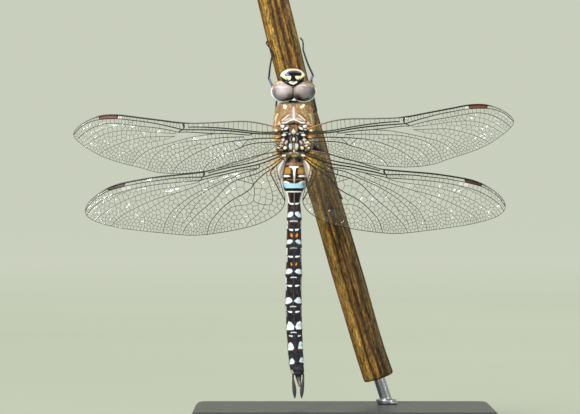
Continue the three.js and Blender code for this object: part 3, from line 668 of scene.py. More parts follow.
def wing(name, net, whole, veins, wave, place, y0, nodus, nodus_z, pt_end, foot, seed):
    """One wing: its veins as a closed mesh of keeled strips, and its membrane as small facets, one field to a cell."""
    rng = np.random.default_rng(seed)
    P, E, loops, rims = net
    stigma_x = float(np.mean([q[0] for q in whole]))

    def y_of(p):
        o, z = p[:, 0], p[:, 1]
        y = y0 + 0.0021 * o * o
        fade = np.clip((44 - o) / 14, 0.25, 1) * smooth(1.8, 4.5, o)
        for k, (a, s) in wave.items():
            d, _ = to_line(o, z, curve(veins[k], 1.0))
            y -= a * fade * bell(d, s)
        return y

    Y = y_of(P)
    half = {}
    for (a, b), k in E.items():
        m = (P[a] + P[b]) / 2
        w = WIDTH[k]
        if k == "C":
            w = 0.25 if m[0] < nodus else 0.3 - 0.12 * smooth(pt_end - 1, pt_end + 6, m[0])
        elif k == "R1":
            w = 0.225 - 0.09 * smooth(nodus - 4, pt_end, m[0])
        elif k == "Sc":
            w = 0.2
        elif k != "x":
            w *= 1 - 0.25 * smooth(12, 34, m[0])
        else:
            w *= 1 - 0.12 * smooth(15, 38, m[0])
        if k in ("MA", "MP", "A", "CU"):
            w *= 1 - 0.28 * smooth(7, 16, m[0])
        if k in ("Sc", "R1", "MA", "MP", "CU", "A", "RP1", "RP2"):
            w *= 1 + 0.16 * smooth(22, 14, m[0])
        if k == "SN":
            w = 0.34 if m[1] > nodus_z else 0.2
        elif k in ("R1", "Sc", "MA", "MP", "A", "CU"):
            w *= 1 + 0.2 * math.exp(-max(m[0] - 2.4, 0) / 4.0)
        half[(a, b)] = half[(b, a)] = w * (1 + 0.15 * math.exp(-max(m[0] - 2.4, 0) / 1.3)) / 2

    def tint(k, p, rim):
        o = p[0]
        if k == "C":
            gold = math.exp(-max(o - 3.3, 0) / 1.2) * (0.3 if y0 > 0.3 else 1.0)
            near = (COSTA if rim else COSTA_IN) * (1 - gold) + COSTA_GOLD * (0.85 if rim else 1.0) * gold
            c = near * (1 - smooth(nodus - 1.6, nodus + 0.2, o)) + VEIN * 0.6 * smooth(nodus - 1.6, nodus + 0.2, o)
            pale = smooth(pt_end - 0.4, pt_end + 1.4, o) * (0.9 if rim else 0.35)
            return c * (1 - pale) + lin((148, 143, 146)) * pale
        elif k in ("x", "SUP", "MSP", "A2", "A3", "AL1", "IR1"):
            c = VEIN_SOFT
        else:
            c = VEIN
        if k in ("x", "IR1", "SUP"):
            c = c + (lin((130, 124, 122)) - c) * 0.5 * smooth(34.5, 38.5, o)
        far = max(math.hypot(o - foot[0], p[1] - foot[1]) - 0.5, 0)
        a = math.exp(-far / 0.6) * (0.45 if k in ("A", "x") else 0.1)
        return c * (1 - a) + AMBER_VEIN * a

    thick = np.zeros(len(P))
    for (a, b), h in half.items():
        thick[a] = max(thick[a], h)
    used = sorted({i for l in loops + rims for i in l})
    idx = {v: i for i, v in enumerate(used)}
    n = len(used)
    pts2 = [P[used], P[used]]
    ys = [Y[used] - thick[used] * 0.8, Y[used] + thick[used] * 0.8]
    vf, corner = [], []
    base = 2 * n
    mv, mf, mcol, mal, mmet = [], [], [], [], []
    mbase = 0
    for loop in loops + rims:
        rim = loop in rims
        L = len(loop)
        p = P[loop]
        q = np.roll(p, -1, 0)
        d = q - p
        ln = np.maximum(np.hypot(d[:, 0], d[:, 1]), 1e-9)
        nin = np.stack([-d[:, 1], d[:, 0]], 1) / ln[:, None]
        hw = np.array([half[(loop[i], loop[(i + 1) % L])] for i in range(L)])
        n0, w0 = np.roll(nin, 1, 0), np.roll(hw, 1)
        det = n0[:, 0] * nin[:, 1] - n0[:, 1] * nin[:, 0]
        near0 = np.abs(det) < 0.25
        det = np.where(near0, 1, det)
        ox = (w0 * nin[:, 1] - hw * n0[:, 1]) / det
        oz = (hw * n0[:, 0] - w0 * nin[:, 0]) / det
        av = (n0 * w0[:, None] + nin * hw[:, None]) / 2
        off = np.where(near0[:, None], av, np.stack([ox, oz], 1))
        size = np.hypot(off[:, 0], off[:, 1])
        most = 2.2 * np.maximum(w0, hw)
        off *= np.minimum(1, most / np.maximum(size, 1e-9))[:, None]
        if not rim:
            mid = p.mean(0)
            to = mid - p
            dist = np.maximum(np.hypot(to[:, 0], to[:, 1]), 1e-9)
            size = np.hypot(off[:, 0], off[:, 1])
            off *= np.minimum(1, 0.6 * dist / np.maximum(size, 1e-9))[:, None]
        inner = p + off
        yi = Y[loop]
        pts2.append(inner)
        ys.append(yi)
        for i in range(L):
            j = (i + 1) % L
            a, b = idx[loop[i]], idx[loop[j]]
            ia, ib = base + i, base + j
            k = E[(min(loop[i], loop[j]), max(loop[i], loop[j]))]
            ca, cb = tint(k, p[i], rim), tint(k, p[j], rim)
            vf.append((a, b, ib, ia))
            corner += [ca, cb, cb, ca]
            vf.append((n + b, n + a, ia, ib))
            corner += [cb, ca, ca, cb]
        base += L
        if rim:
            continue
        mid = inner.mean(0)
        spot = to_poly(mid[0], mid[1], whole) < 0 and len(loop) > 8
        far = math.hypot(mid[0] - foot[0], mid[1] - foot[1])
        am = math.exp(-max(far - foot[2], 0) / 1.3) * rng.uniform(0.7, 1.0)
        c = AMBER * am**0.4 + lin((158, 154, 138)) * (1 - am**0.4)
        al = 0.052 + 0.74 * am + rng.uniform(-0.015, 0.035) + 0.04 * smooth(30, 41, mid[0])
        # some cells carry one narrow facet that is tilted enough to flash; most of them lie near the tip and the rear margin
        rear, _ = to_line(mid[0], mid[1], veins["T"])
        front, _ = to_line(mid[0], mid[1], veins["R1"])
        patch = float(noise3(np.array([[mid[0], seed * 7.0, mid[1]]]), 0.45, 30)[0])
        odds = 0.2 + 0.9 * smooth(26, 37, mid[0]) + 0.5 * smooth(7.0, 2.5, float(rear)) * smooth(9, 15, mid[0])
        odds *= 0.35 + 1.5 * float(smooth(-0.15, 0.4, patch))
        if place is not place_left:
            odds *= 1.9
        if seed == 3 and mid[0] > 31:
            odds *= 1.5
        if front < 0.9 and mid[0] < 36:
            odds *= 0.2
        q_ = np.roll(inner, -1, 0)
        rad = math.sqrt(abs((inner[:, 0] * q_[:, 1] - q_[:, 0] * inner[:, 1]).sum()) / 2 / math.pi)
        shiny, top = False, (mid[0], yi.mean() + rng.normal(0, 0.012), mid[1])
        if rng.uniform() < odds:
            want = np.array([-0.134, 0.155] if rng.uniform() < 0.7 else [-0.248, 0.331])
            if place is place_left:
                want[0] *= -1
            if rng.uniform() < 0.18:
                want = rng.normal(0, 0.2, 2)
            e = q_ - inner
            ln_ = np.maximum(np.hypot(e[:, 0], e[:, 1]), 1e-6)
            e = e / ln_[:, None]
            miss = np.abs((np.roll(yi, -1) - yi) / ln_ - e @ want) + 2.0 * (ln_ < 0.55 * rad)
            w_ = int(np.argmin(miss))
            if miss[w_] < 0.065:
                half_way = (inner[w_] + q_[w_]) / 2
                n_ = np.array([-e[w_][1], e[w_][0]])
                n_ *= np.sign(n_ @ (mid - half_way))
                deep = rad * rng.uniform(0.22, 0.6)
                c_ = half_way + n_ * deep + e[w_] * rng.uniform(-0.2, 0.2) * ln_[w_]
                c = lin((236, 238, 240))
                shiny, top = True, (c_[0], (yi[w_] + yi[(w_ + 1) % L]) / 2 + deep * float(want @ n_ + rng.normal(0, 0.02)), c_[1])
        me_ = (1 - am) * (1.0 if shiny else 0.0)
        # the costal cells just before the pterostigma are painted half-opaque white, a painted highlight on the clear
        # membrane
        if not rim and to_poly(mid[0] + 1.7, mid[1] + 0.25, whole) < 0 and mid[0] < stigma_x - 1.2:
            al, c = 0.45, lin((236, 238, 232))
        if spot:
            c, al, me_ = lin((112, 62, 38)), 1.0, 0.0
            # the pterostigma is a thick coloured cell: two faces, a little swollen
            ring2 = inner
            for s in (-1, 1):
                b0 = mbase
                mv += [(r[0], y_ + s * 0.03, r[1]) for r, y_ in zip(ring2, yi)]
                cen = len(ring2)
                shr = mid + (ring2 - mid) * np.array([0.95, 0.62])
                mv += [(r[0], y_ + s * 0.085, r[1]) for r, y_ in zip(shr, yi)]
                k2 = len(ring2)
                for i in range(k2):
                    j = (i + 1) % k2
                    f = (b0 + i, b0 + j, b0 + k2 + j, b0 + k2 + i)
                    mf.append(f if s < 0 else f[::-1])
                f = tuple(b0 + k2 + i for i in range(k2))
                mf.append(f if s < 0 else f[::-1])
                mbase += 2 * k2
                cc = [lin((40, 20, 12))] * k2 + [lin((112, 54, 16) if y0 < 0.3 else (66, 30, 12))] * k2
                mcol += cc
                mal += [1.0] * (2 * k2)
                mmet += [0.0] * (2 * k2)
            continue
        mv += [(r[0], y_, r[1]) for r, y_ in zip(inner, yi)]
        mv.append(top)
        for i in range(L):
            mf.append((mbase + i, mbase + (i + 1) % L, mbase + L))
        mbase += L + 1
        mcol += [c] * (L + 1)
        mal += [al] * (L + 1)
        mmet += [me_] * (L + 1)
    # low folds of the membrane along the veins near the tips, which flash as short bright strokes
    at_a, at_z = place(np.array([0.0, 1.0, 0.0]), np.array([0.0, 0.0, 1.0]))
    back = np.linalg.inv(np.array([[at_a[1] - at_a[0], at_a[2] - at_a[0]], [at_z[1] - at_z[0], at_z[2] - at_z[0]]]))
    turn_ = np.sign((P[loops[0]][:, 0] * np.roll(P[loops[0]][:, 1], -1) - np.roll(P[loops[0]][:, 0], -1) * P[loops[0]][:, 1]).sum())
    for u0, v0, u1, v1, wide, much in FLASHES.get(seed, ()):
        e0, e1 = (back @ (np.array([(u_ - 294) * 0.19, 81.66 - 0.19 * v_]) - (at_a[0], at_z[0])) for u_, v_ in ((u0, v0), (u1, v1)))
        t_ = (e1 - e0) / np.hypot(*(e1 - e0))
        want = np.array([0.134 if place is place_left else -0.134, 0.155])
        n_ = np.array([-t_[1], t_[0]])
        n_ = n_ * np.sign(n_ @ want) * wide * 0.19 / 2
        c_ = (e0 + e1) / 2
        d2 = ((P[used] - c_) ** 2).sum(1)
        near_ = np.argsort(d2)[:4]
        lie = float((Y[used][near_] / (d2[near_] + 0.02)).sum() / (1 / (d2[near_] + 0.02)).sum())
        for q_, h_ in ((e0 + n_ * 0.3, 0), (e0 - n_ * 0.3, 0), (e1 - n_ * 0.3, 0), (e1 + n_ * 0.3, 0),
                       (c_ - n_ + t_ * 0.04, 0), (c_ + n_ + t_ * 0.04, 0), (c_ - n_ * 1.3, 0.03)):
            mv.append((q_[0], lie - 0.012 + float((q_ - c_) @ want) + h_, q_[1]))
        b0 = mbase
        for f in ((b0 + 1, b0 + 4, b0 + 5, b0), (b0 + 4, b0 + 2, b0 + 3, b0 + 5), (b0 + 1, b0 + 6, b0 + 4), (b0 + 6, b0 + 2, b0 + 4)):
            p_ = [(mv[i][0], mv[i][2]) for i in f]
            sign = sum(p_[i][0] * p_[(i + 1) % len(f)][1] - p_[(i + 1) % len(f)][0] * p_[i][1] for i in range(len(f)))
            mf.append(f if sign * turn_ >= 0 else f[::-1])
        mbase += 7
        mcol += [lin((236, 238, 240))] * 7
        mal += [0.17 * much] * 7
        mmet += [1.0] * 7
    flat = np.vstack(pts2)
    y = np.concatenate(ys)

    def out(flat, y):
        a, z = place(flat[:, 0], flat[:, 1])
        return np.stack([a, y, z], 1)

    mirrored = place is place_left
    if not mirrored:
        vf = [f[::-1] for f in vf]
        corner = np.array(corner).reshape(-1, 4, 3)[:, ::-1].reshape(-1, 3)
        mf = [f[::-1] for f in mf]
    span = 45.0
    uv_of = lambda p2: np.stack([p2[:, 0] / span, (p2[:, 1] - 35) / span], 1)
    uv = uv_of(flat)[np.array(vf).ravel()]
    veins_ob = make(name + "_veins", out(flat, y), vf, VEIN_MAT, smooth_shade=True, corner_col=np.array(corner), uv=uv)
    piece(veins_ob, "wing", name)
    mv = np.array(mv)
    uvm = uv_of(mv[:, [0, 2]])[np.concatenate([np.array(f) for f in mf])]
    mem = make(name + "_membrane", out(mv[:, [0, 2]], mv[:, 1]), mf, MEMBRANE_MAT, smooth_shade=False, col=np.array(mcol), attrs={"See": mal, "Metal": mmet}, uv=uvm)
    piece(mem, "wing", name)


# short strokes in photo pixels (from, to, width, strength) where the membrane near the wing tips has a low bright fold
FLASHES = {
    1: ((98.8, 123.8, 104.7, 122.0, 0.9, 0.9), (86.0, 125.8, 91.8, 124.1, 0.8, 0.6), (80.6, 141.0, 84.4, 137.8, 0.9, 1.0), (84.8, 137.2, 89.0, 134.4, 0.7, 0.6),
        (89.6, 134.2, 91.6, 132.2, 1.5, 1.2), (95.2, 130.2, 98.8, 128.8, 1.1, 1.0), (100.6, 128.0, 102.6, 127.2, 1.1, 1.0), (104.6, 127.6, 106.8, 126.6, 1.5, 1.2),
        (93.8, 137.2, 95.4, 136.0, 1.2, 0.9), (76.0, 140.4, 77.8, 137.8, 1.3, 1.0), (75.4, 134.0, 79.4, 130.6, 0.8, 0.7), (106.0, 143.8, 110.4, 142.0, 0.8, 0.6),
        (91.6, 145.6, 93.0, 144.4, 1.1, 0.8), (103.0, 151.6, 104.6, 150.2, 1.1, 0.7)),
    2: ((470.8, 118.4, 472.8, 117.0, 1.6, 1.2), (482.0, 127.6, 484.4, 129.4, 1.4, 1.1), (481.6, 136.2, 483.4, 134.8, 1.2, 1.0), (484.4, 133.4, 486.4, 134.8, 1.2, 1.0),
        (475.4, 138.6, 477.4, 137.2, 1.5, 1.1), (497.6, 122.4, 500.4, 124.0, 0.8, 0.6)),
    3: ((85.2, 209.2, 92.4, 204.2, 1.1, 1.1), (92.6, 204.0, 100.8, 199.0, 1.4, 1.2), (102.0, 199.4, 105.8, 196.8, 1.9, 1.2), (107.2, 196.6, 111.2, 194.6, 1.1, 0.9),
        (86.4, 214.0, 91.2, 209.6, 1.0, 1.0), (91.4, 209.4, 97.4, 204.8, 0.9, 0.9), (90.2, 216.0, 95.6, 211.2, 0.7, 0.7), (93.2, 220.8, 98.4, 215.4, 0.8, 0.8),
        (96.4, 196.4, 100.6, 193.4, 0.9, 1.0), (105.2, 213.0, 110.4, 208.4, 1.0, 0.8), (112.8, 200.4, 116.8, 198.8, 1.6, 0.8), (117.2, 213.8, 120.2, 210.6, 0.7, 0.6),
        (87.4, 205.0, 91.4, 200.6, 0.8, 0.8), (127.6, 205.6, 130.0, 203.8, 1.7, 1.1), (163.6, 191.8, 168.2, 190.8, 1.3, 1.0), (168.6, 191.0, 172.8, 189.8, 1.9, 1.1),
        (173.2, 189.6, 179.4, 188.4, 1.3, 1.0), (181.0, 182.2, 186.4, 181.0, 0.9, 0.7), (209.0, 181.6, 214.0, 179.9, 0.9, 0.8), (222.4, 178.0, 228.6, 176.0, 1.0, 0.9),
        (231.4, 175.4, 238.4, 173.4, 0.9, 0.8), (225.6, 194.0, 229.8, 190.0, 0.9, 0.6)),
    4: ((499.0, 198.6, 501.6, 200.4, 1.2, 0.7), (503.0, 200.8, 505.2, 202.8, 1.0, 0.8), (458.6, 191.6, 460.8, 190.4, 1.2, 0.9), (453.8, 190.6, 456.2, 189.4, 1.3, 1.0)),
}


def vein_material():
    m = Mat("wing_vein", Roughness=0.32)
    c = m.mix(m.range(m.noise(5200, 2), 0.35, 0.75), m.attr("Col"), m.mix(1.0, m.attr("Col"), (1.7, 1.6, 1.5), "MULTIPLY"))
    return m.out(Base_Color=c, Roughness=m.range(m.noise(9000, 2), 0.3, 0.8, 0.22, 0.5))


def membrane_material():
    m = Mat("wing_membrane")
    vary = m.range(m.noise(700, 3, 0.6), 0.3, 0.7, 0.75, 1.3)
    a = m.math("MULTIPLY", m.attr("See", True), vary, True)
    dull = m.range(m.attr("Metal", True), 0.0, 1.0, 0.5, 0.13)
    return m.out(Base_Color=m.attr("Col"), Metallic=m.math("MULTIPLY", m.attr("Metal", True), 0.9), Roughness=m.math("ADD", dull, m.range(m.noise(2600, 2), 0.3, 0.7, -0.03, 0.06)), Alpha=a,
                 Normal=m.bump(m.noise(4200, 2), 0.1, 0.00002))


VEIN_MAT, MEMBRANE_MAT = vein_material(), membrane_material()


def stigma(veins):
    m = (np.array(veins["PT1"]).mean(0) + np.array(veins["PT2"]).mean(0)) / 2
    return [m + np.array(d) for d in ((-1.0, -0.36), (1.0, -0.36), (1.0, 0.36), (-1.0, 0.36))]


def build_wings():
    fw, hw = stigma(FORE), stigma(HIND)
    fore, hind = venation(FORE, fore_cell, 5, fw), venation(HIND, hind_cell, 8, hw)
    print("cells", len(fore[2]), len(hind[2]))
    wing("forewing_left", fore, fw, FORE, FORE_WAVE, place_left, 0.0, 20.9, 57.3, 37.2, (2.4, 56.0, -0.4), 1)
    wing("forewing_right", fore, fw, FORE, FORE_WAVE, place_fore_right, 0.0, 20.9, 57.3, 37.2, (2.4, 56.0, -0.4), 2)
    wing("hindwing_left", hind, hw, HIND, HIND_WAVE, place_left, 0.62, 17.3, 48.2, 35.6, (2.6, 51.6, 1.2), 3)
    wing("hindwing_right", hind, hw, HIND, HIND_WAVE, place_hind_right, 0.62, 17.3, 48.2, 35.6, (2.6, 51.6, 1.2), 4)


# ------------------------------------------------------------------ markings
class Paint:
    """Colours, relief and gloss laid on points. u, v are the measuring units above; side picks where a mark shows."""

    def __init__(s, u, v, base, show=1.0):
        s.u, s.v = np.asarray(u, float), np.asarray(v, float)
        n = len(s.u)
        s.col = np.broadcast_to(lin(base), (n, 3)).copy()
        s.up = np.zeros(n)
        s.rough = np.full(n, 0.45)
        s.show = np.broadcast_to(np.asarray(show, float), (n,)).copy()

    def lay(s, d, rgb, edge=0.35, much=1.0, rough=None, up=0.0, wide=1.2, show=None):
        m = (1 - smooth(-edge, edge, d)) * (s.show if show is None else show) * much
        if rgb is not None:
            s.col += (lin(rgb) - s.col) * m[:, None]
        if rough is not None:
            s.rough += (rough - s.rough) * m
        if up:
            r = np.clip((wide * 0.35 - d) / wide, 0, 1)
            s.up += up * (1 - (1 - r) ** 2) * (s.show if show is None else show)
        return s

    def spot(s, cx, cy, rx, ry, rgb, turn=0.0, **kw):
        near = (np.abs(s.u - cx) < rx + ry + 4) & (np.abs(s.v - cy) < rx + ry + 4)
        d = np.full(len(s.u), 9.0)
        d[near] = to_oval(s.u[near], s.v[near], cx, cy, rx, ry, turn)
        return s.lay(d, rgb, **kw)

    def shape(s, pts, rgb, **kw):
        p = np.array(pts, float)
        lo, hi = p.min(0) - 4, p.max(0) + 4
        near = (s.u > lo[0]) & (s.u < hi[0]) & (s.v > lo[1]) & (s.v < hi[1])
        d = np.full(len(s.u), 9.0)
        if near.any():
            d[near] = to_poly(s.u[near], s.v[near], pts)
        return s.lay(d, rgb, **kw)

    def line(s, pts, w, rgb, **kw):
        p = np.array(pts, float)
        lo, hi = p.min(0) - 4 - w, p.max(0) + 4 + w
        near = (s.u > lo[0]) & (s.u < hi[0]) & (s.v > lo[1]) & (s.v < hi[1])
        d = np.full(len(s.u), 9.0)
        if near.any():
            d[near] = to_line(s.u[near], s.v[near], pts)[0] - w / 2
        return s.lay(d, rgb, **kw)

    def both(s, mid, kind, *a, **kw):
        """A mark and its mirror image about the line u = mid."""
        getattr(s, kind)(*a, **kw)
        if kind == "spot":
            cx, cy, rx, ry, rgb = a
            kw = dict(kw, turn=-kw.get("turn", 0.0))
            return s.spot(2 * mid - cx, cy, rx, ry, rgb, **kw)
        return getattr(s, kind)([(2 * mid - x, y) for x, y in a[0]], *a[1:], **kw)


def noise3(p, scale, seed):
    """Smooth value noise of points p, about -1 to 1."""
    rng = np.random.default_rng(seed)
    table = rng.uniform(-1, 1, 4096)
    q = np.asarray(p, float) * scale
    i = np.floor(q).astype(int)
    f = q - i
    f = f * f * (3 - 2 * f)
    out = np.zeros(len(q))
    for dx in (0, 1):
        for dy in (0, 1):
            for dz in (0, 1):
                h = ((i[:, 0] + dx) * 73856093 ^ (i[:, 1] + dy) * 19349663 ^ (i[:, 2] + dz) * 83492791) % 4096
                w = (f[:, 0] if dx else 1 - f[:, 0]) * (f[:, 1] if dy else 1 - f[:, 1]) * (f[:, 2] if dz else 1 - f[:, 2])
                out += table[h] * w
    return out


# ------------------------------------------------------------------ thorax and abdomen, one skin
# z, x of the middle, half width, y of the back, y of the belly, squareness
TRUNK = [
    (63.15, -0.1, 0.35, 3.1, 4.6, 2.0), (63.0, -0.1, 0.85, 2.75, 5.0, 2.0), (62.5, -0.1, 1.2, 2.1, 5.6, 2.0), (62.3, -0.08, 1.9, 1.0, 5.9, 2.1),
    (62.05, -0.06, 2.6, 0.45, 6.0, 2.15), (61.6, -0.05, 2.98, 0.1, 6.4, 2.2), (60.85, -0.05, 3.3, -0.3, 6.75, 2.3), (59.6, -0.05, 3.5, -0.68, 8.0, 2.35),
    (58.0, -0.05, 3.58, -0.85, 8.7, 2.4), (56.4, 0, 3.46, -0.42, 8.85, 2.4), (54.6, 0, 3.28, -0.25, 8.6, 2.4), (53.2, 0, 3.05, -0.1, 7.95, 2.3),
    (52.4, 0, 2.8, 0.15, 6.9, 2.25), (52.05, 0, 2.5, 0.45, 6.1, 2.2), (51.85, 0, 1.9, 0.8, 5.3, 2.1), (51.68, 0, 1.35, 1.0, 4.6, 2.1), (51.2, 0, 1.62, 0.75, 4.7, 2.1),
    (50.2, 0, 2.05, 0.45, 5.0, 2.1), (48.8, 0.05, 2.25, 0.2, 5.05, 2.1), (47.0, 0.05, 2.22, 0.25, 4.85, 2.1), (45.7, 0, 1.9, 0.5, 4.35, 2.1),
    (44.4, 0, 1.38, 0.8, 3.7, 2.1), (43.3, 0, 1.16, 0.95, 3.5, 2.1), (41.8, 0.05, 1.27, 0.95, 3.55, 2.1), (39.9, 0.05, 1.4, 0.9, 3.6, 2.1),
    (37.4, 0, 1.37, 0.9, 3.6, 2.1), (34.65, 0, 1.48, 0.86, 3.64, 2.1), (32.0, 0, 1.44, 0.88, 3.6, 2.1), (29.25, -0.05, 1.6, 0.83, 3.64, 2.1),
    (26.4, -0.1, 1.5, 0.88, 3.58, 2.1), (23.75, -0.1, 1.58, 0.85, 3.58, 2.1), (21.2, 0, 1.5, 0.9, 3.52, 2.1), (18.8, 0.05, 1.53, 0.9, 3.5, 2.1),
    (16.8, 0.2, 1.45, 0.97, 3.42, 2.1), (15.0, 0.25, 1.47, 0.99, 3.37, 2.1), (13.6, 0.4, 1.42, 1.05, 3.3, 2.1), (12.25, 0.45, 1.39, 1.09, 3.25, 2.1),
    (11.3, 0.62, 1.31, 1.15, 3.14, 2.1), (10.55, 0.74, 1.15, 1.27, 3.03, 2.1), (10.25, 0.78, 0.8, 1.5, 2.8, 2.1)]
JOINTS = [50.17, 45.67, 39.87, 34.62, 29.22, 23.72, 18.77, 14.97, 12.22]


def trunk_rings(back=172, belly=84, step=0.066):
    """Rings down the body, with most points on the back, where the finest marks are."""
    count = back + belly
    z = np.arange(63.2, 10.2, -step)
    t = np.array(TRUNK)[::-1]
    cols = [np.interp(z, t[:, 0], t[:, k]) for k in range(1, 6)]
    k = np.exp(-(np.arange(-8, 9) / 4.1) ** 2)
    k /= k.sum()
    cols = [np.convolve(np.pad(c, 8, mode="edge"), k, "valid") for c in cols]
    xm, hw, yb, yv, sq = cols
    close = np.sqrt(np.clip((63.2 - z) / 0.25, 0.02, 1)) * np.sqrt(np.clip((z - 10.2) / 0.2, 0.05, 1))
    # each segment's rear edge stands a little over the next one's fore edge
    off = np.zeros(len(z))
    for j, zj in enumerate(JOINTS):
        big = 0.085 if j < 7 else 0.06
        off += np.where(z >= zj, big * np.exp(-((z - zj) / 0.42)), 0) - np.where(z < zj, 0.075 * np.exp(-((zj - z) / 0.25)), 0)
        off -= 0.03 * bell(z - zj - 1.1, 0.12) if j < 7 else 0
    off *= smooth(52.2, 51.0, z)
    split = 0.4 + 0.05 * smooth(52.4, 51.6, z)
    yc = yb + (yv - yb) * split
    tt = np.concatenate([math.pi * (np.arange(belly) + 0.5) / belly, math.pi * (1 + (np.arange(back) + 0.5) / back)])
    c, s = np.cos(tt), np.sin(tt)
    e = 2 / sq[:, None]
    a = np.sign(c) * np.abs(c) ** e
    b = np.sign(s) * np.abs(s) ** e
    x = xm[:, None] + (hw * close + off)[:, None] * a
    y = yc[:, None] + np.where(b < 0, ((yc - yb) * close + off)[:, None] * b, ((yv - yc) * close + off)[:, None] * b)
    zz = np.repeat(z[:, None], count, 1)
    return np.stack([x, y, zz], 2), np.broadcast_to(a, x.shape), b, np.broadcast_to(tt, x.shape), xm


BIG = {  # the large pale spots, as outlines
    3: ([(286.9, 217), (288.1, 213.4), (290, 212.1), (292.6, 212.1), (293.1, 213.9), (292.1, 215.9), (290, 217.1)], [(294.9, 213.2), (296, 212.1), (298.6, 212.1), (300.5, 214), (301.3, 217), (298.5, 217), (296, 215.3)]),
    4: ([(285.8, 244.2), (287.4, 240.4), (289.5, 239.8), (292.3, 240.1), (292.5, 241.8), (290.5, 243.4), (288, 243.9)], [(295.3, 241.2), (297.5, 239.8), (300, 240.4), (302.2, 244.2), (299, 243.7), (296.5, 242.4)]),
    5: ([(285.0, 274), (286.2, 270.2), (288.5, 268.9), (291.3, 269.4), (292.4, 271.3), (291, 273.1), (288, 273.8)], [(294.9, 271.5), (297, 269.4), (299.6, 269.2), (301.5, 271), (301.8, 274), (298, 273.5), (296, 272.7)]),
    6: ([(284.6, 303.7), (285.2, 300), (287, 298), (289.5, 297.7), (291.6, 299.5), (292.2, 301.5), (289.6, 303.2), (287, 304)], [(294.1, 301.3), (296, 299.3), (297.5, 297.7), (299.6, 297.9), (301.5, 301), (301.5, 303.2), (297.5, 303.1)]),
    7: ([(286.1, 330.2), (286.9, 326), (288.8, 321.8), (291.4, 323), (294, 326.5), (293.7, 329.5)], [(295.5, 327), (297.4, 322.8), (300, 321.6), (302.3, 324), (302.8, 329.1), (296.5, 329.2)]),
    8: ([(288, 350.4), (288.7, 344), (290.7, 342.7), (292.6, 344.6), (294, 348.4), (292.3, 350.2)], [(298.3, 348.5), (299.3, 343), (301, 341.6), (302.7, 344), (303.3, 349.2)]),
    9: ([(289.5, 364.5), (290.6, 359.6), (292.5, 358.7), (294.7, 361.8), (293.6, 363.9)], [(299.4, 361.9), (300.6, 358.3), (302.5, 357.7), (304.6, 361.2), (304.3, 363.2)])}
BARS = {3: (203.0, 204.7, 289.0, 293.9, 294.9, 299.3), 4: (229.0, 230.9, 288.8, 293.3, 294.9, 299.2), 5: (256.0, 257.7, 287.8, 293.2, 294.9, 300.1),
        6: (285.1, 286.9, 287.0, 292.2, 294.9, 299.4), 7: (311.3, 313.0, 287.8, 292.4, 295.0, 299.8), 8: (335.6, 336.9, 288.8, 293.0, 297.6, 300.9)}
ARCS = {4: (221.0, 290.4, 297.0, 1.6), 5: (248.0, 290.3, 296.6, 1.1), 6: (277.4, 290.8, 296.4, 0.85), 7: (306.6, 290.4, 295.9, 0.8), 8: (332.5, 291.0, 296.3, 0.85)}
WHITE, CREAM, ICE, BLUE, BLACK = (246, 247, 246), (240, 233, 208), (206, 226, 240), (172, 216, 242), (22, 19, 22)


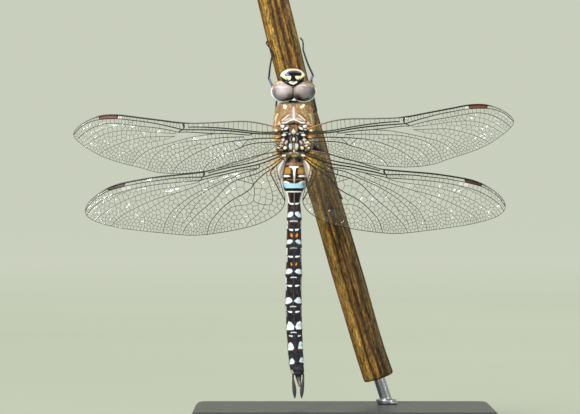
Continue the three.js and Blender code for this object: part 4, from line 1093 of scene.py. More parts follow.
def mark_abdomen(p, mid):
    """Segment by segment, from the wide first two down to the tenth."""
    u, v = p.u, p.v
    body = smooth(156.9, 158.2, v)
    grain = noise3(np.stack([u, v, v * 0], 1), 0.55, 3)
    fine = noise3(np.stack([u * 2.2, v, v * 0], 1), 1.1, 5)
    slate = lin((25, 23, 28)) * (1 + 0.5 * grain[:, None]) + lin((64, 64, 80)) * 0.38 * np.clip(fine * 1.6 + noise3(np.stack([u, v, v * 0], 1), 0.3, 8) * 0.8, 0, 1)[:, None]
    p.col += (slate - p.col) * body[:, None]
    p.rough += (0.36 - p.rough) * body
    # S1
    p.shape([(287, 157.2), (301, 157.2), (304.8, 165.6), (284, 165.6)], (74, 54, 40), edge=0.6)
    p.both(294.2, "spot", 289.4, 159.5, 3.4, 2.2, (26, 20, 20), turn=-25, edge=1.0)
    p.line([(294.2, 158), (294.2, 164)], 1.0, (138, 104, 74), edge=0.5)
    p.shape([(285.3, 162.7), (303.5, 162.7), (304.6, 165.2), (284.3, 165.2)], (126, 92, 62), edge=0.5)
    p.line([(284, 166), (305, 166)], 0.8, (16, 13, 14), edge=0.3)
    # S2: the golf tee, brown shoulders, the white bars and the blue band
    p.shape([(281.8, 166.4), (306.6, 166.4), (307, 190), (282, 190)], (40, 27, 18), edge=0.4)
    p.shape([(282.3, 167.6), (289.0, 166.9), (290.6, 168.6), (290.7, 174.0), (281.5, 174.3)], (168, 118, 42), edge=0.45)
    p.shape([(298.2, 168.6), (300, 166.9), (306.4, 167.6), (307.4, 174.3), (297.6, 174.0)], (160, 112, 44), edge=0.45)
    p.both(294.2, "spot", 286.6, 171.0, 2.6, 2.0, (186, 146, 72), edge=1.2, much=0.6)
    p.both(294.2, "line", [(281, 174.6), (291, 174.6)], 0.7, (18, 14, 14), edge=0.25)
    p.shape([(288.9, 165.9), (299.2, 165.9), (298.6, 167.2), (295.9, 168.2), (295.4, 171), (295.1, 176), (294.7, 182.5), (293.9, 182.5), (293.4, 176), (293.2, 171), (292.2, 168.2), (289.6, 167.2)], WHITE, edge=0.35, rough=0.5, up=0.02)
    p.line([(294.3, 176.4), (294.3, 182.3)], 1.1, (168, 146, 148), edge=0.4, much=0.75)
    p.shape([(281.2, 174.9), (288.6, 175.1), (290.5, 176.3), (288.8, 177.0), (281.2, 177.1)], WHITE, edge=0.3, up=0.02)
    p.shape([(307.4, 174.9), (299.8, 175.1), (297.9, 176.3), (299.6, 177.0), (307.4, 177.1)], WHITE, edge=0.3, up=0.02)
    p.both(294.2, "line", [(282, 178.0), (292.8, 178.3)], 1.1, (14, 11, 12), edge=0.3)
    p.both(294.2, "line", [(286.6, 179.4), (293.0, 179.7)], 0.8, (170, 104, 40), edge=0.35, much=0.85)
    p.both(294.2, "spot", 283, 179.9, 1.1, 1.9, (178, 102, 34), edge=0.5, much=0.9)
    p.shape([(282.6, 181.9), (286, 181.0), (289.8, 182.8), (292.4, 183.4), (296.2, 183.4), (299.2, 182.4), (302, 180.9), (305.8, 181.2), (305.2, 185.4), (303.2, 188.0), (285.4, 188.0), (283.4, 185.4)], BLUE, edge=0.4, rough=0.5, up=0.015)
    p.both(294.2, "shape", [(282.8, 181.7), (286, 180.9), (289.8, 182.7), (289, 183.8), (285.6, 182.6), (283.4, 183.4)], WHITE, edge=0.4)
    p.line([(285.2, 187.5), (303.4, 187.5)], 0.8, (206, 228, 238), edge=0.4)
    p.spot(303.4, 183.8, 1.8, 2.2, (82, 152, 178), edge=1.2, much=0.7)
    p.both(294.2, "spot", 291.0, 182.1, 1.6, 0.75, (12, 10, 12), edge=0.35)
    p.line([(283.4, 189.5), (305.2, 189.5)], 2.3, (10, 9, 11), edge=0.35)
    # S3
    p.shape([(285.2, 191.3), (303.6, 191.3), (299.9, 202.4), (289.2, 202.4)], (24, 18, 17), edge=0.35)
    p.line([(285.2, 191.7), (303.4, 191.7)], 1.1, WHITE, edge=0.3)
    # the side marks of S3 are real; the left one painted white and the right one pale blue is painted light from the
    # left
    p.shape([(284.0, 190.9), (288.0, 191.4), (287.9, 193.5), (289.2, 199), (289.8, 203.2), (286, 203.2)], WHITE, edge=0.35)
    p.shape([(305.0, 190.9), (301.0, 191.4), (301.2, 193.5), (299.9, 199), (299.2, 203.2), (303, 203.2)], ICE, edge=0.35)
    p.shape([(288.2, 193.2), (290.4, 192.9), (290.9, 202.2), (289.6, 202.2)], (96, 53, 22), edge=0.6, much=0.85)
    p.shape([(298.8, 192.9), (300.8, 193.2), (299.5, 202.2), (298.1, 202.2)], (88, 46, 20), edge=0.6, much=0.85)
    p.spot(292.2, 207.8, 1.0, 1.7, (104, 50, 30), turn=-20, edge=0.8, much=0.7)
    p.spot(296.6, 207.8, 1.0, 1.7, (104, 50, 30), turn=20, edge=0.8, much=0.7)
    p.shape([(289.6, 219.2), (293.4, 215.8), (297.8, 219.2)], (92, 86, 98), edge=1.0, much=0.5)
    # down the middle runs a fine pale keel
    m = mid
    keel = np.abs(u - (294 + m / UNIT)) - 0.2
    p.lay(keel, (104, 104, 122), edge=0.3, much=0.6 * np.clip(0.75 + 0.6 * noise3(np.stack([v * 0.3, v * 0, v * 0], 1), 1.0, 6), 0.25, 1), show=p.show * smooth(190.5, 192.5, v) * smooth(360, 345, v))
    p.line([(294.3, 192.8), (294.3, 202.8)], 0.8, (136, 134, 150), edge=0.35, much=0.75)
    for k, (v0, v1, a, b, c, d) in BARS.items():
        h = (v1 - v0)
        p.shape([(a, v0 - 0.1), (b - 0.7, v0 + 0.1), (b, v0 + h * 0.55), (b - 0.9, v1 + 0.1), (a + 1.8, v1 - 0.15), (a + 0.2, v0 + 0.7)], WHITE, edge=0.3, up=0.015)
        p.shape([(d, v0 - 0.2), (c + 0.7, v0), (c, v0 + h * 0.55), (c + 0.9, v1), (d - 1.8, v1 - 0.25), (d - 0.2, v0 + 0.6)], WHITE, edge=0.3, up=0.015)
    for k, (v0, a, b, w) in ARCS.items():
        p.line([(a, v0 + 0.25), ((a + b) / 2, v0 - 0.1), (b, v0 + 0.2)], w, (196, 188, 178) if k < 6 else (232, 230, 226), edge=0.35)
    for cx, cy, rx, ry, t in ((291.5, 235.2, 1.3, 2.1, -18), (296.8, 235.3, 1.1, 2.1, 16), (291.4, 264.2, 0.8, 1.5, -12), (296.2, 264.1, 0.8, 1.5, 14)):
        p.spot(cx, cy, rx, ry, (206, 118, 26), turn=t, edge=0.6)
        p.spot(cx, cy + 0.3, rx * 0.5, ry * 0.5, (240, 168, 60), turn=t, edge=0.5)
    p.spot(289.2, 224.2, 0.9, 2.4, (104, 50, 34), turn=-28, edge=0.7, much=0.8)
    p.spot(298.6, 224.2, 0.9, 2.4, (104, 50, 34), turn=28, edge=0.7, much=0.8)
    p.both(293.8, "spot", 287.8, 240.5, 0.7, 3.0, (84, 44, 34), edge=0.7, much=0.7)
    for cx, cy in ((291.0, 290.8), (296.6, 291.6)):
        p.spot(cx, cy, 1.0, 1.7, (84, 50, 40), edge=0.8, much=0.6)
    for k, (left, right) in BIG.items():
        for out, sgn in ((left, -1), (right, 1)):
            q = np.array(out)
            wide = q.mean(0) + (q - q.mean(0)) * [1.06, 1.08]
            p.shape(wide, (236, 241, 242), edge=0.38, rough=0.5, up=0.02)
            # the spots are real; their tint painted paler on the left and bluer on the right is painted light from the
            # left
            c = q.mean(0)
            p.spot(c[0] + sgn * 0.5, c[1] + 0.2, 2.0, 1.7, (150, 200, 228) if sgn > 0 else (196, 222, 228), edge=1.5, much=0.7)
    # pale flashes along the sides of the fore half of each segment; they are painted whiter on the left and duller
    # grey-blue on the right, and that difference between the sides is painted light from the left
    for v0, v1, v2, v3 in ((220.9, 224.6, 225.2, 228.6), (248.0, 255.3, 256.4, 262.0), (277.6, 283.6, 284.4, 290.6), (306.6, 311.5, 312.4, 317.0)):
        for s in (-1, 1):
            e = p.edge * s
            for a, b in ((v0, v1), (v2, v3)):
                d = np.maximum(np.maximum(a - v, v - b), (0.86 - e) * 7)
                d = np.maximum(d, (p.bb - 0.35) * 8)
                p.lay(d, (236, 230, 232) if s < 0 else (176, 182, 200), edge=0.3, much=0.9 if v0 < 300 else 0.5, show=np.ones(len(u)))
    # reddish sides of the rear half, low pale spots and the belly
    low = p.bb
    for v0, v1 in ((205, 219), (232, 246.5), (259, 275.5), (288, 304.5), (314, 330.5)):
        d = np.maximum(np.maximum(v0 - v, v - v1), (0.9 - np.abs(p.edge)) * 10)
        p.lay(np.maximum(d, (low - 0.5) * 8), (96, 52, 36), edge=1.2, much=0.55, show=np.ones(len(u)))
    for v0, v1 in ((209, 218.5), (236, 246), (265, 275), (293, 304), (319, 330), (341, 350), (356, 364.5)):
        d = np.maximum(np.maximum(v0 - v, v - v1), (np.abs(low - 0.52) - 0.2) * 9)
        p.lay(d, (176, 206, 222), edge=0.8, much=0.9, show=np.ones(len(u)) * (v > 190))
    under = smooth(0.86, 0.97, low)
    p.lay(np.where(v > 157, (0.9 - low) * 12, 9), (58, 44, 36), edge=0.8, show=np.ones(len(u)))
    p.lay(np.where(v > 157, np.abs(low - 0.9) * 12 - 0.4, 9), (20, 16, 16), edge=0.6, show=np.ones(len(u)))
    # S9 and S10
    p.line([(288, 350.9), (303, 350.9)], 0.8, (104, 76, 46), edge=0.4, much=0.8)
    p.line([(290, 365.7), (303, 365.7)], 0.9, (92, 70, 50), edge=0.5, much=0.7)
    p.shape([(291.0, 370.0), (292.2, 370.2), (294.0, 373.2), (293.4, 374.6), (291.6, 373.2)], (226, 186, 172), edge=0.4)
    p.spot(296.5, 368.4, 3.2, 1.2, (92, 96, 104), edge=1.4, much=0.5)
    p.spot(297.5, 373.8, 3.6, 1.0, (92, 92, 104), edge=1.2, much=0.5)
    for c in (291.8, 301.8):
        p.spot(c, 356.2, 1.6, 2.2, (70, 68, 76), edge=1.2, much=0.5)


def mark_thorax(p):
    u, v = p.u, p.v
    M = 293.6
    q = np.stack([u, v, v * 0], 1)
    tan = 0.5 + 0.5 * noise3(q, 0.35, 12)
    fine = noise3(q, 0.9, 13)
    # the front: bands of grey, tan and gold that curve down from the shoulders to the wings
    w = np.abs(u - M)
    arc = np.hypot(w * 1.05, (v - 124) * 0.9)
    fade = smooth(125.5, 121.5, v) * p.show
    wob = arc + 0.5 * noise3(q, 0.28, 14)
    for r, wd, rgb, k in ((20.2, 1.5, (176, 118, 48), 0.6), (18.0, 1.1, (172, 158, 132), 0.8), (16.4, 0.9, (186, 122, 46), 0.75), (14.9, 1.0, (160, 146, 124), 0.8), (13.4, 0.9, (104, 76, 46), 0.7),
                          (12.2, 0.8, (184, 170, 146), 0.75), (10.9, 0.8, (120, 84, 48), 0.6), (9.6, 0.8, (178, 128, 62), 0.6)):
        p.lay(np.abs(wob - r) - wd * 0.42, rgb, edge=0.8, much=k * (0.75 + 0.4 * fine), show=fade * smooth(1.6, 4.0, w) * smooth(102.5, 105, v))
    p.lay(np.abs(w - 17.2 + 0.25 * np.abs(v - 112)) - 0.9, (190, 126, 46), edge=1.0, much=0.7, show=fade * smooth(103.5, 107, v))
    p.col *= 1 + (0.16 * fade * noise3(q, 2.1, 15))[:, None]
    p.lay(v - 103.2, (24, 17, 14), edge=0.6, show=(v > 100.5) * (np.abs(u - M) < 13.5) * 1.0)
    # antehumeral spots
    p.shape([(282.9, 104.6), (283.8, 104.0), (285.7, 105.0), (286.9, 106.3), (286.5, 107.9), (285.3, 109.1), (283.9, 108.3), (283.2, 106.4)], (246, 240, 214), edge=0.4, up=0.04)
    p.shape([(304.9, 104.2), (303.6, 103.9), (301.6, 105.2), (300.1, 106.5), (299.9, 107.5), (301.4, 108.6), (303.2, 107.7), (304.7, 105.7)], (246, 240, 214), edge=0.4, up=0.04)
    p.both(M, "line", [(290.4, 104.8), (290.5, 107.0)], 0.8, (176, 160, 138), edge=0.4, much=0.8)
    # the middle keel, blue above, white, then widening to lilac
    p.shape([(292.4, 109.0), (294.8, 109.0), (296.2, 117.8), (298.2, 121.2), (289.0, 121.2), (291.0, 117.8)], (196, 180, 184), edge=0.6, much=0.85)
    p.line([(292.0, 111.0), (291.6, 117.5)], 0.9, (120, 84, 60), edge=0.5, much=0.7)
    p.line([(295.4, 111.0), (296.0, 118.0)], 0.9, (128, 82, 50), edge=0.5, much=0.7)
    p.line([(293.6, 103.6), (293.6, 107.2)], 1.5, (78, 110, 158), edge=0.4)
    p.line([(293.6, 107.6), (293.6, 110.6)], 1.15, (246, 244, 246), edge=0.35)
    p.line([(293.7, 110.6), (294.0, 119.6)], 1.3, (230, 214, 224), edge=0.6)
    p.both(M, "line", [(292.0, 107.6), (291.7, 112.0), (290.8, 117.0)], 0.7, (198, 132, 56), edge=0.4, much=0.8)
    p.both(M, "line", [(291.0, 112.6), (289.0, 117.4)], 0.9, (176, 160, 140), edge=0.5, much=0.7)
    p.both(M, "line", [(289.6, 115.2), (287.4, 118.6)], 0.6, (150, 100, 50), edge=0.4, much=0.7)
    p.line([(293.6, 103.6), (293.7, 119.6)], 0.9, None, up=0.13, wide=1.6)
    # V lines down to the wing bases, with slate between them
    p.both(M, "shape", [(290.2, 113.0), (291.2, 120.4), (284.2, 122.2), (282.2, 121.2)], (152, 146, 148), edge=0.9, much=0.6)
    p.both(M, "spot", 286.6, 119.5, 2.4, 0.9, (196, 202, 214), turn=-28, edge=0.6, much=0.85)
    p.both(M, "spot", 289.6, 118.9, 1.1, 0.6, (224, 224, 230), turn=-30, edge=0.5, much=0.7)
    p.both(M, "line", [(291.1, 110.0), (285.6, 115.2), (280.5, 120.8)], 0.9, (190, 122, 48), edge=0.5, much=0.9, up=-0.03, wide=1.2)
    p.both(M, "line", [(288.6, 111.6), (284.6, 115.0), (281.0, 119.0)], 0.7, (66, 48, 32), edge=0.5, much=0.6)
    p.both(M, "line", [(288.2, 115.3), (284.8, 118.2), (282.3, 120.3)], 0.95, (248, 240, 228), edge=0.3)
    p.both(M, "line", [(288.6, 116.4), (285.2, 119.2), (282.6, 121.2)], 0.5, (120, 70, 30), edge=0.3, much=0.8)
    p.both(M, "line", [(282, 121.7), (285.2, 121.5), (288.2, 120.7)], 0.8, (196, 116, 44), edge=0.4)
    # ridge in front of the wings
    p.both(M, "line", [(283.0, 123.3), (286.0, 123.1), (289.3, 121.6), (291.0, 120.5), (293.6, 119.9)], 1.35, (250, 244, 246), edge=0.35, up=0.22, wide=1.5)
    p.both(M, "line", [(280.4, 121.6), (281.0, 123.6), (282.4, 124.4)], 0.9, (20, 16, 18), edge=0.4)
    p.both(M, "line", [(279.6, 121.2), (277.9, 124.6)], 0.9, (240, 226, 210), edge=0.4, much=0.85)
    p.both(M, "line", [(281.6, 122.5), (284.0, 121.9)], 0.8, (222, 140, 46), edge=0.3)
    p.both(M, "spot", 289.7, 122.0, 1.6, 0.5, (140, 84, 34), turn=-22, edge=0.3)
    # painted shadow: the trough behind the ridge is painted near black as well as being sunk
    p.both(M, "line", [(283.5, 124.8), (289.5, 124.6), (293.6, 123.8)], 1.5, (8, 7, 9), edge=0.4, up=-0.28, wide=2.2)
    # the wing field: black, set with pale plates
    p.both(M, "shape", [(281.0, 124.6), (293.6, 124.8), (293.6, 152.5), (280.8, 152.8), (278.6, 147.0), (281.2, 142.0), (279.2, 138.6), (278.4, 131.6), (279.6, 127.0)], (15, 12, 14), edge=0.6, rough=0.4)
    p.shape([(290.9, 125.0), (296.6, 125.0), (298.2, 129.0), (297.4, 132.8), (290.0, 132.8), (289.3, 129.0)], (112, 88, 72), edge=0.5, up=0.22, wide=3.0)
    p.line([(295.9, 126.0), (296.6, 130.4)], 1.1, (198, 132, 58), edge=0.5)
    p.line([(290.6, 128.6), (290.6, 131.6)], 0.9, (164, 96, 40), edge=0.5, much=0.8)
    p.shape([(293.6, 128.5), (294.6, 130.0), (295.7, 131.6), (295.2, 133.4), (293.6, 134.4), (292.0, 133.4), (291.5, 131.6), (292.6, 130.0)], (248, 246, 242), edge=0.4, up=0.1, wide=1.6)
    p.both(M, "spot", 289.8, 133.8, 1.4, 0.9, (166, 190, 216), turn=-15, edge=0.4, up=0.06)
    p.both(M, "spot", 282.5, 126.4, 1.95, 1.5, (255, 254, 248), turn=15, edge=0.35, up=0.16, wide=1.3)
    p.both(M, "spot", 286.2, 128.5, 2.15, 1.2, (255, 254, 248), turn=-28, edge=0.35, up=0.16, wide=1.3)
    p.both(M, "spot", 281.9, 129.6, 1.5, 0.7, (252, 248, 240), turn=-12, edge=0.3, up=0.1)
    p.both(M, "line", [(283.6, 132.9), (287.6, 132.5)], 0.7, (230, 214, 196), edge=0.3, much=0.8)
    p.both(M, "line", [(284.6, 124.9), (287.4, 126.0), (289.2, 127.6)], 0.6, (200, 186, 170), edge=0.3, much=0.7)
    p.both(M, "line", [(287.8, 124.9), (289.4, 126.4)], 0.8, (150, 96, 46), edge=0.4, much=0.8)
    p.both(M, "spot", 287.6, 133.4, 0.9, 0.8, (46, 32, 44), edge=0.4)
    p.both(M, "spot", 283.9, 135.0, 2.15, 1.15, (255, 254, 248), turn=-4, edge=0.35, up=0.16, wide=1.3)
    p.both(M, "line", [(280.0, 131.6), (283.8, 131.3)], 0.5, (96, 100, 150), edge=0.35, much=0.8)
    p.both(M, "line", [(279.0, 137.6), (282.4, 137.3), (285.4, 137.9)], 0.8, (10, 8, 10), edge=0.3)
    p.spot(293.7, 139.4, 1.15, 1.85, (236, 238, 226), edge=0.35, up=0.12)
    p.line([(291.0, 137.0), (290.0, 139.4), (291.2, 141.8)], 0.9, (150, 148, 150), edge=0.4, much=0.8)
    p.line([(296.4, 137.0), (297.4, 139.4), (296.2, 141.8)], 0.9, (150, 148, 150), edge=0.4, much=0.8)
    p.both(M, "spot", 289.0, 137.4, 0.9, 1.6, (60, 36, 32), turn=20, edge=0.5, much=0.8)
    p.line([(290, 136.2), (293.7, 135.6), (297.4, 136.2)], 0.8, (98, 58, 46), edge=0.4)
    p.line([(289.6, 142.6), (293.7, 143.4), (297.8, 142.6)], 0.7, (104, 62, 48), edge=0.4)
    p.both(M, "line", [(279.4, 140.6), (281.8, 139.0), (283.8, 138.2)], 0.9, (238, 220, 176), edge=0.35, up=0.05)
    p.both(M, "spot", 283.4, 140.2, 1.3, 1.0, (250, 240, 232), turn=-35, edge=0.35, up=0.12, wide=1.2)
    p.both(M, "spot", 281.9, 142.6, 1.3, 1.6, (226, 204, 206), turn=20, edge=0.4, up=0.1, wide=1.2)
    p.both(M, "spot", 283.9, 143.6, 0.7, 1.3, (150, 110, 92), turn=20, edge=0.4, much=0.9)
    p.both(M, "spot", 286.3, 142.3, 1.2, 1.9, (214, 200, 206), turn=30, edge=0.45, much=0.9, up=0.08)
    p.both(M, "spot", 285.2, 140.0, 0.8, 0.5, (110, 84, 92), edge=0.4, much=0.8)
    p.both(M, "line", [(285.8, 144.6), (287.4, 141.4)], 0.6, (206, 186, 170), edge=0.4)
    p.both(M, "shape", [(289.2, 143.9), (291.7, 143.4), (292.4, 145.4), (292.2, 148.4), (291.1, 149.9), (289.5, 148.6), (288.8, 146.2)], (170, 190, 212), edge=0.45, up=0.16, wide=1.8)
    p.both(M, "spot", 290.2, 145.9, 0.7, 1.5, (226, 234, 244), edge=0.6, much=0.8)
    p.both(M, "spot", 290.6, 148.9, 1.0, 0.8, (212, 222, 170), edge=0.5, much=0.8)
    p.both(M, "line", [(292.5, 143.8), (292.7, 148.6)], 0.5, (84, 76, 84), edge=0.3, much=0.7)
    p.line([(293.8, 143.6), (293.8, 149.4)], 1.8, (162, 112, 48), edge=0.5)
    p.both(M, "line", [(287.0, 144.0), (287.2, 150.0)], 0.9, (150, 98, 46), edge=0.5, much=0.7)
    p.both(M, "spot", 285.1, 147.9, 1.55, 1.8, (244, 234, 206), turn=30, edge=0.35, up=0.14)
    p.both(M, "line", [(280.9, 147.0), (282.6, 145.6)], 1.2, (226, 204, 178), edge=0.4, up=0.05)
    p.both(M, "line", [(279.8, 150.8), (285.0, 150.6), (288.4, 149.6)], 2.0, (12, 10, 14), edge=0.4)
    p.both(M, "line", [(279.5, 149.6), (282.8, 150.0)], 0.7, (128, 116, 176), edge=0.35, much=0.7)
    p.spot(294.0, 151.2, 1.05, 1.3, (214, 232, 222), edge=0.35, up=0.06)
    p.line([(289.0, 151.0), (299, 151.0)], 0.7, (112, 58, 32), edge=0.4, much=0.7)
    p.both(M, "spot", 284.0, 155.6, 2.15, 1.3, (248, 244, 224), turn=-22, edge=0.35, up=0.1)
    p.both(M, "spot", 289.6, 153.6, 1.5, 1.0, (166, 150, 160), edge=0.5)
    p.spot(294.4, 155.7, 2.7, 0.8, (214, 208, 160), edge=0.4, up=0.06)
    p.both(M, "spot", 279.2, 148.2, 1.5, 1.1, (236, 216, 180), turn=35, edge=0.4, up=0.08)
    p.both(M, "spot", 281.6, 149.6, 0.9, 0.6, (16, 14, 18), edge=0.3)
    p.both(M, "spot", 287.4, 151.4, 1.3, 0.7, (14, 12, 14), edge=0.35)
    p.both(M, "spot", 290.8, 152.7, 1.1, 0.6, (216, 190, 206), edge=0.35)
    # the flank beside the wing roots, seen past them: cream, gold and black
    S = smooth(0.48, 0.22, p.bb) * smooth(101, 103, v) * smooth(155, 152, v)
    p.both(M, "line", [(277.6, 113.6), (276.2, 117.0), (275.3, 120.8), (275.2, 125.4)], 1.5, (250, 240, 218), edge=0.5, up=0.05, show=S)
    p.both(M, "line", [(279.9, 115.0), (278.9, 120.5)], 0.8, (112, 74, 40), edge=0.6, much=0.7, show=S)
    p.both(M, "line", [(277.5, 120.6), (277.2, 124.6)], 1.0, (216, 140, 50), edge=0.5, much=0.9, show=S)
    p.both(M, "spot", 279.4, 123.9, 1.7, 1.3, (226, 210, 214), edge=0.6, much=0.85, up=0.08)
    p.both(M, "line", [(275.2, 127.2), (280.6, 127.6)], 1.0, (206, 124, 40), edge=0.4, much=0.9, show=S)
    p.both(M, "spot", 276.3, 130.1, 2.5, 1.3, (253, 248, 236), turn=20, edge=0.4, up=0.08, show=S)
    p.both(M, "line", [(273, 132.6), (280.5, 132.2)], 0.8, (20, 15, 16), edge=0.4, much=0.9, show=S)
    p.both(M, "line", [(273, 135.4), (279.4, 135.8)], 2.6, (230, 152, 58), edge=0.5, much=0.95, show=S)
    p.both(M, "line", [(273, 138.6), (280.0, 138.6)], 0.8, (22, 17, 17), edge=0.4, much=0.9, show=S)
    p.both(M, "line", [(274.0, 140.6), (278.6, 139.8)], 1.1, (226, 160, 74), edge=0.4, much=0.9, show=S)
    p.both(M, "spot", 277.8, 142.9, 2.2, 1.5, (248, 238, 212), turn=-30, edge=0.5, much=0.95, up=0.06, show=S)
    p.both(M, "spot", 275.6, 146.4, 1.6, 1.8, (216, 196, 150), edge=0.8, much=0.8, show=S)
    p.both(M, "line", [(274.6, 149.2), (279.8, 150.4)], 1.1, (20, 16, 18), edge=0.5, much=0.9, show=S)
    # streaks of brown and grey down the shoulders
    for x0, y0, x1, y1, w, rgb in ((282.6, 110.4, 279.0, 119.0, 1.0, (196, 150, 92)), (285.4, 111.4, 281.2, 117.2, 0.8, (206, 188, 158)), (288.4, 109.6, 284.8, 113.6, 0.8, (176, 136, 84)),
                                   (280.2, 108.0, 277.9, 113.6, 1.1, (112, 80, 50)), (289.0, 112.6, 286.4, 115.0, 0.6, (110, 74, 46)), (284.2, 115.4, 281.4, 118.0, 0.7, (98, 66, 42))):
        p.both(M, "line", [(x0, y0), ((x0 + x1) / 2 - 0.2, (y0 + y1) / 2 + 0.3), (x1, y1)], w, rgb, edge=0.6, much=0.7)


def build_skin():
    rings, a, b, tt, xm = trunk_rings()
    rows, cols = rings.shape[:2]
    pts = rings.reshape(-1, 3)
    A, B = a.ravel(), b.ravel()
    u, v = U(pts[:, 0]), Vv(pts[:, 2])
    top = smooth(0.12, -0.12, B)
    p = Paint(u, v, (138, 106, 66), top)
    p.edge, p.bb = A, B
    thor = smooth(156, 153, v)
    grain = noise3(np.stack([u, v, pts[:, 1] * 5], 1), 0.4, 21)
    p.col *= (1 + 0.3 * grain[:, None])
    # flanks: two pale stripes between brown, down to the legs
    side = smooth(-0.25, 0.05, B) * thor
    zz, yy = pts[:, 2], pts[:, 1]
    d1 = to_poly(zz, yy, [(59.4, 0.6), (60.6, 2.6), (61.0, 6.0), (59.9, 8.2), (59.0, 6.0), (58.0, 2.4), (58.0, 0.6)])
    d2 = to_poly(zz, yy, [(55.2, 0.6), (56.6, 2.6), (57.8, 6.0), (57.6, 8.6), (56.0, 8.4), (54.4, 5.6), (53.3, 2.6), (53.4, 0.8)])
    for d in (d1, d2):
        p.lay(d, (24, 18, 14), edge=0.22, much=0.9, show=side)
        p.lay(d + 0.22, (196, 190, 116), edge=0.14, show=side, up=0.03, wide=0.5)
    p.lay(np.abs(to_line(zz, yy, [(57.9, 0.8), (58.4, 3.0), (58.6, 8.6)])[0]) - 0.09, (18, 14, 12), edge=0.08, show=side, up=-0.05, wide=0.3)
    p.lay(np.abs(to_line(zz, yy, [(60.9, 0.9), (61.5, 3.5), (61.3, 6.3)])[0]) - 0.09, (18, 14, 12), edge=0.08, show=side, up=-0.05, wide=0.3)
    p.lay(to_oval(zz, yy, 57.6, 4.6, 0.3, 0.42, 0), (14, 12, 12), edge=0.08, show=side)
    p.lay((0.93 - B) * 3, (66, 50, 38), edge=0.5, show=thor)
    mark_thorax(p)
    mid = np.repeat(xm, cols)
    mark_abdomen(p, mid)
    # relief of the keel on the abdomen and fine wrinkles
    p.up += 0.05 * bell(u - (294 + mid / UNIT), 0.9) * smooth(166, 190, v) * p.show
    p.up += 0.012 * noise3(pts, 3.0, 31) + 0.03 * noise3(pts, 1.1, 32) * thor
    n = normals(pts, grid_faces(rows, cols, True, True))
    pts2 = pts + n * np.clip(p.up, -0.3, 0.4)[:, None]
    vv, ff = lofted(pts2.reshape(rows, cols, 3), True, True)
    col = np.vstack([p.col, p.col[:1], p.col[-1:]])
    rough = np.concatenate([p.rough, [0.5, 0.5]])
    m = Mat("cuticle")
    mott = m.range(m.noise(4200, 4, 0.6), 0.25, 0.75, 0.78, 1.2)
    c = m.mix(1.0, m.attr("Col"), m.node("CombineColor", {0: mott, 1: mott, 2: mott}).outputs[0], "MULTIPLY")
    h = m.math("ADD", m.math("MULTIPLY", m.noise(9000, 3, 0.6), 0.6), m.math("MULTIPLY", m.cells(16000), 0.4))
    rgh = m.math("ADD", m.attr("Rough", True), m.range(m.noise(6000, 2), 0.3, 0.7, -0.07, 0.1), True)
    mat = m.out(Base_Color=c, Roughness=rgh, Normal=m.bump(h, 0.45, 0.00002), Specular_IOR_Level=0.22)
    ob = make("skin", vv, ff, mat, col=col, attrs={"Rough": rough})
    piece(ob, "thorax_brown", "prothorax", "synthorax", *["abdomen_s%d" % i for i in range(1, 11)])
    return pts2.reshape(rows, cols, 3), n.reshape(rows, cols, 3), tt


# ------------------------------------------------------------------ head
HEAD_X, EYE_R, EYE_AT, WIDER = -0.15, (2.38, 3.35, 2.16), (1.86, 2.95, 64.4), 1.055
# y, x of the middle, half width, z behind, z in front, squareness
SKULL = [
    (0.34, -0.29, 0.03, 66.95, 67.02, 2.0), (0.36, -0.29, 0.6, 66.6, 67.45, 2.0), (0.42, -0.29, 1.2, 66.2, 67.9, 2.0), (0.52, -0.29, 1.66, 65.88, 68.22, 2.0),
    (0.68, -0.29, 2.0, 65.62, 68.44, 2.05), (0.9, -0.29, 2.19, 65.46, 68.57, 2.1), (1.2, -0.28, 2.25, 65.4, 68.65, 2.15), (1.7, -0.22, 2.28, 64.7, 68.66, 2.2),
    (2.3, -0.17, 2.27, 63.5, 68.6, 2.3), (3.3, -0.15, 2.2, 62.78, 68.3, 2.3), (4.3, -0.15, 2.0, 62.63, 67.9, 2.3), (5.2, -0.15, 1.94, 62.83, 67.73, 2.3),
    (5.95, -0.15, 1.79, 63.12, 67.48, 2.3), (6.5, -0.15, 1.58, 63.32, 67.08, 2.2), (7.05, -0.15, 1.2, 63.7, 66.5, 2.1), (7.35, -0.15, 0.75, 64.15, 65.98, 2.0), (7.47, -0.15, 0.25, 64.7, 65.4, 2.0)]
FRONS = [(280.7, 76.7), (282.3, 73.9), (284.8, 71.4), (288.0, 69.6), (293.0, 68.9), (298.4, 69.4), (301.9, 71.4), (303.9, 74.6), (304.4, 76.7),
         (304.0, 78.5), (302.3, 81.0), (299.4, 82.8), (296.2, 84.6), (293.0, 85.3), (289.4, 84.6), (285.9, 82.8), (283.0, 80.6), (280.9, 78.3)]


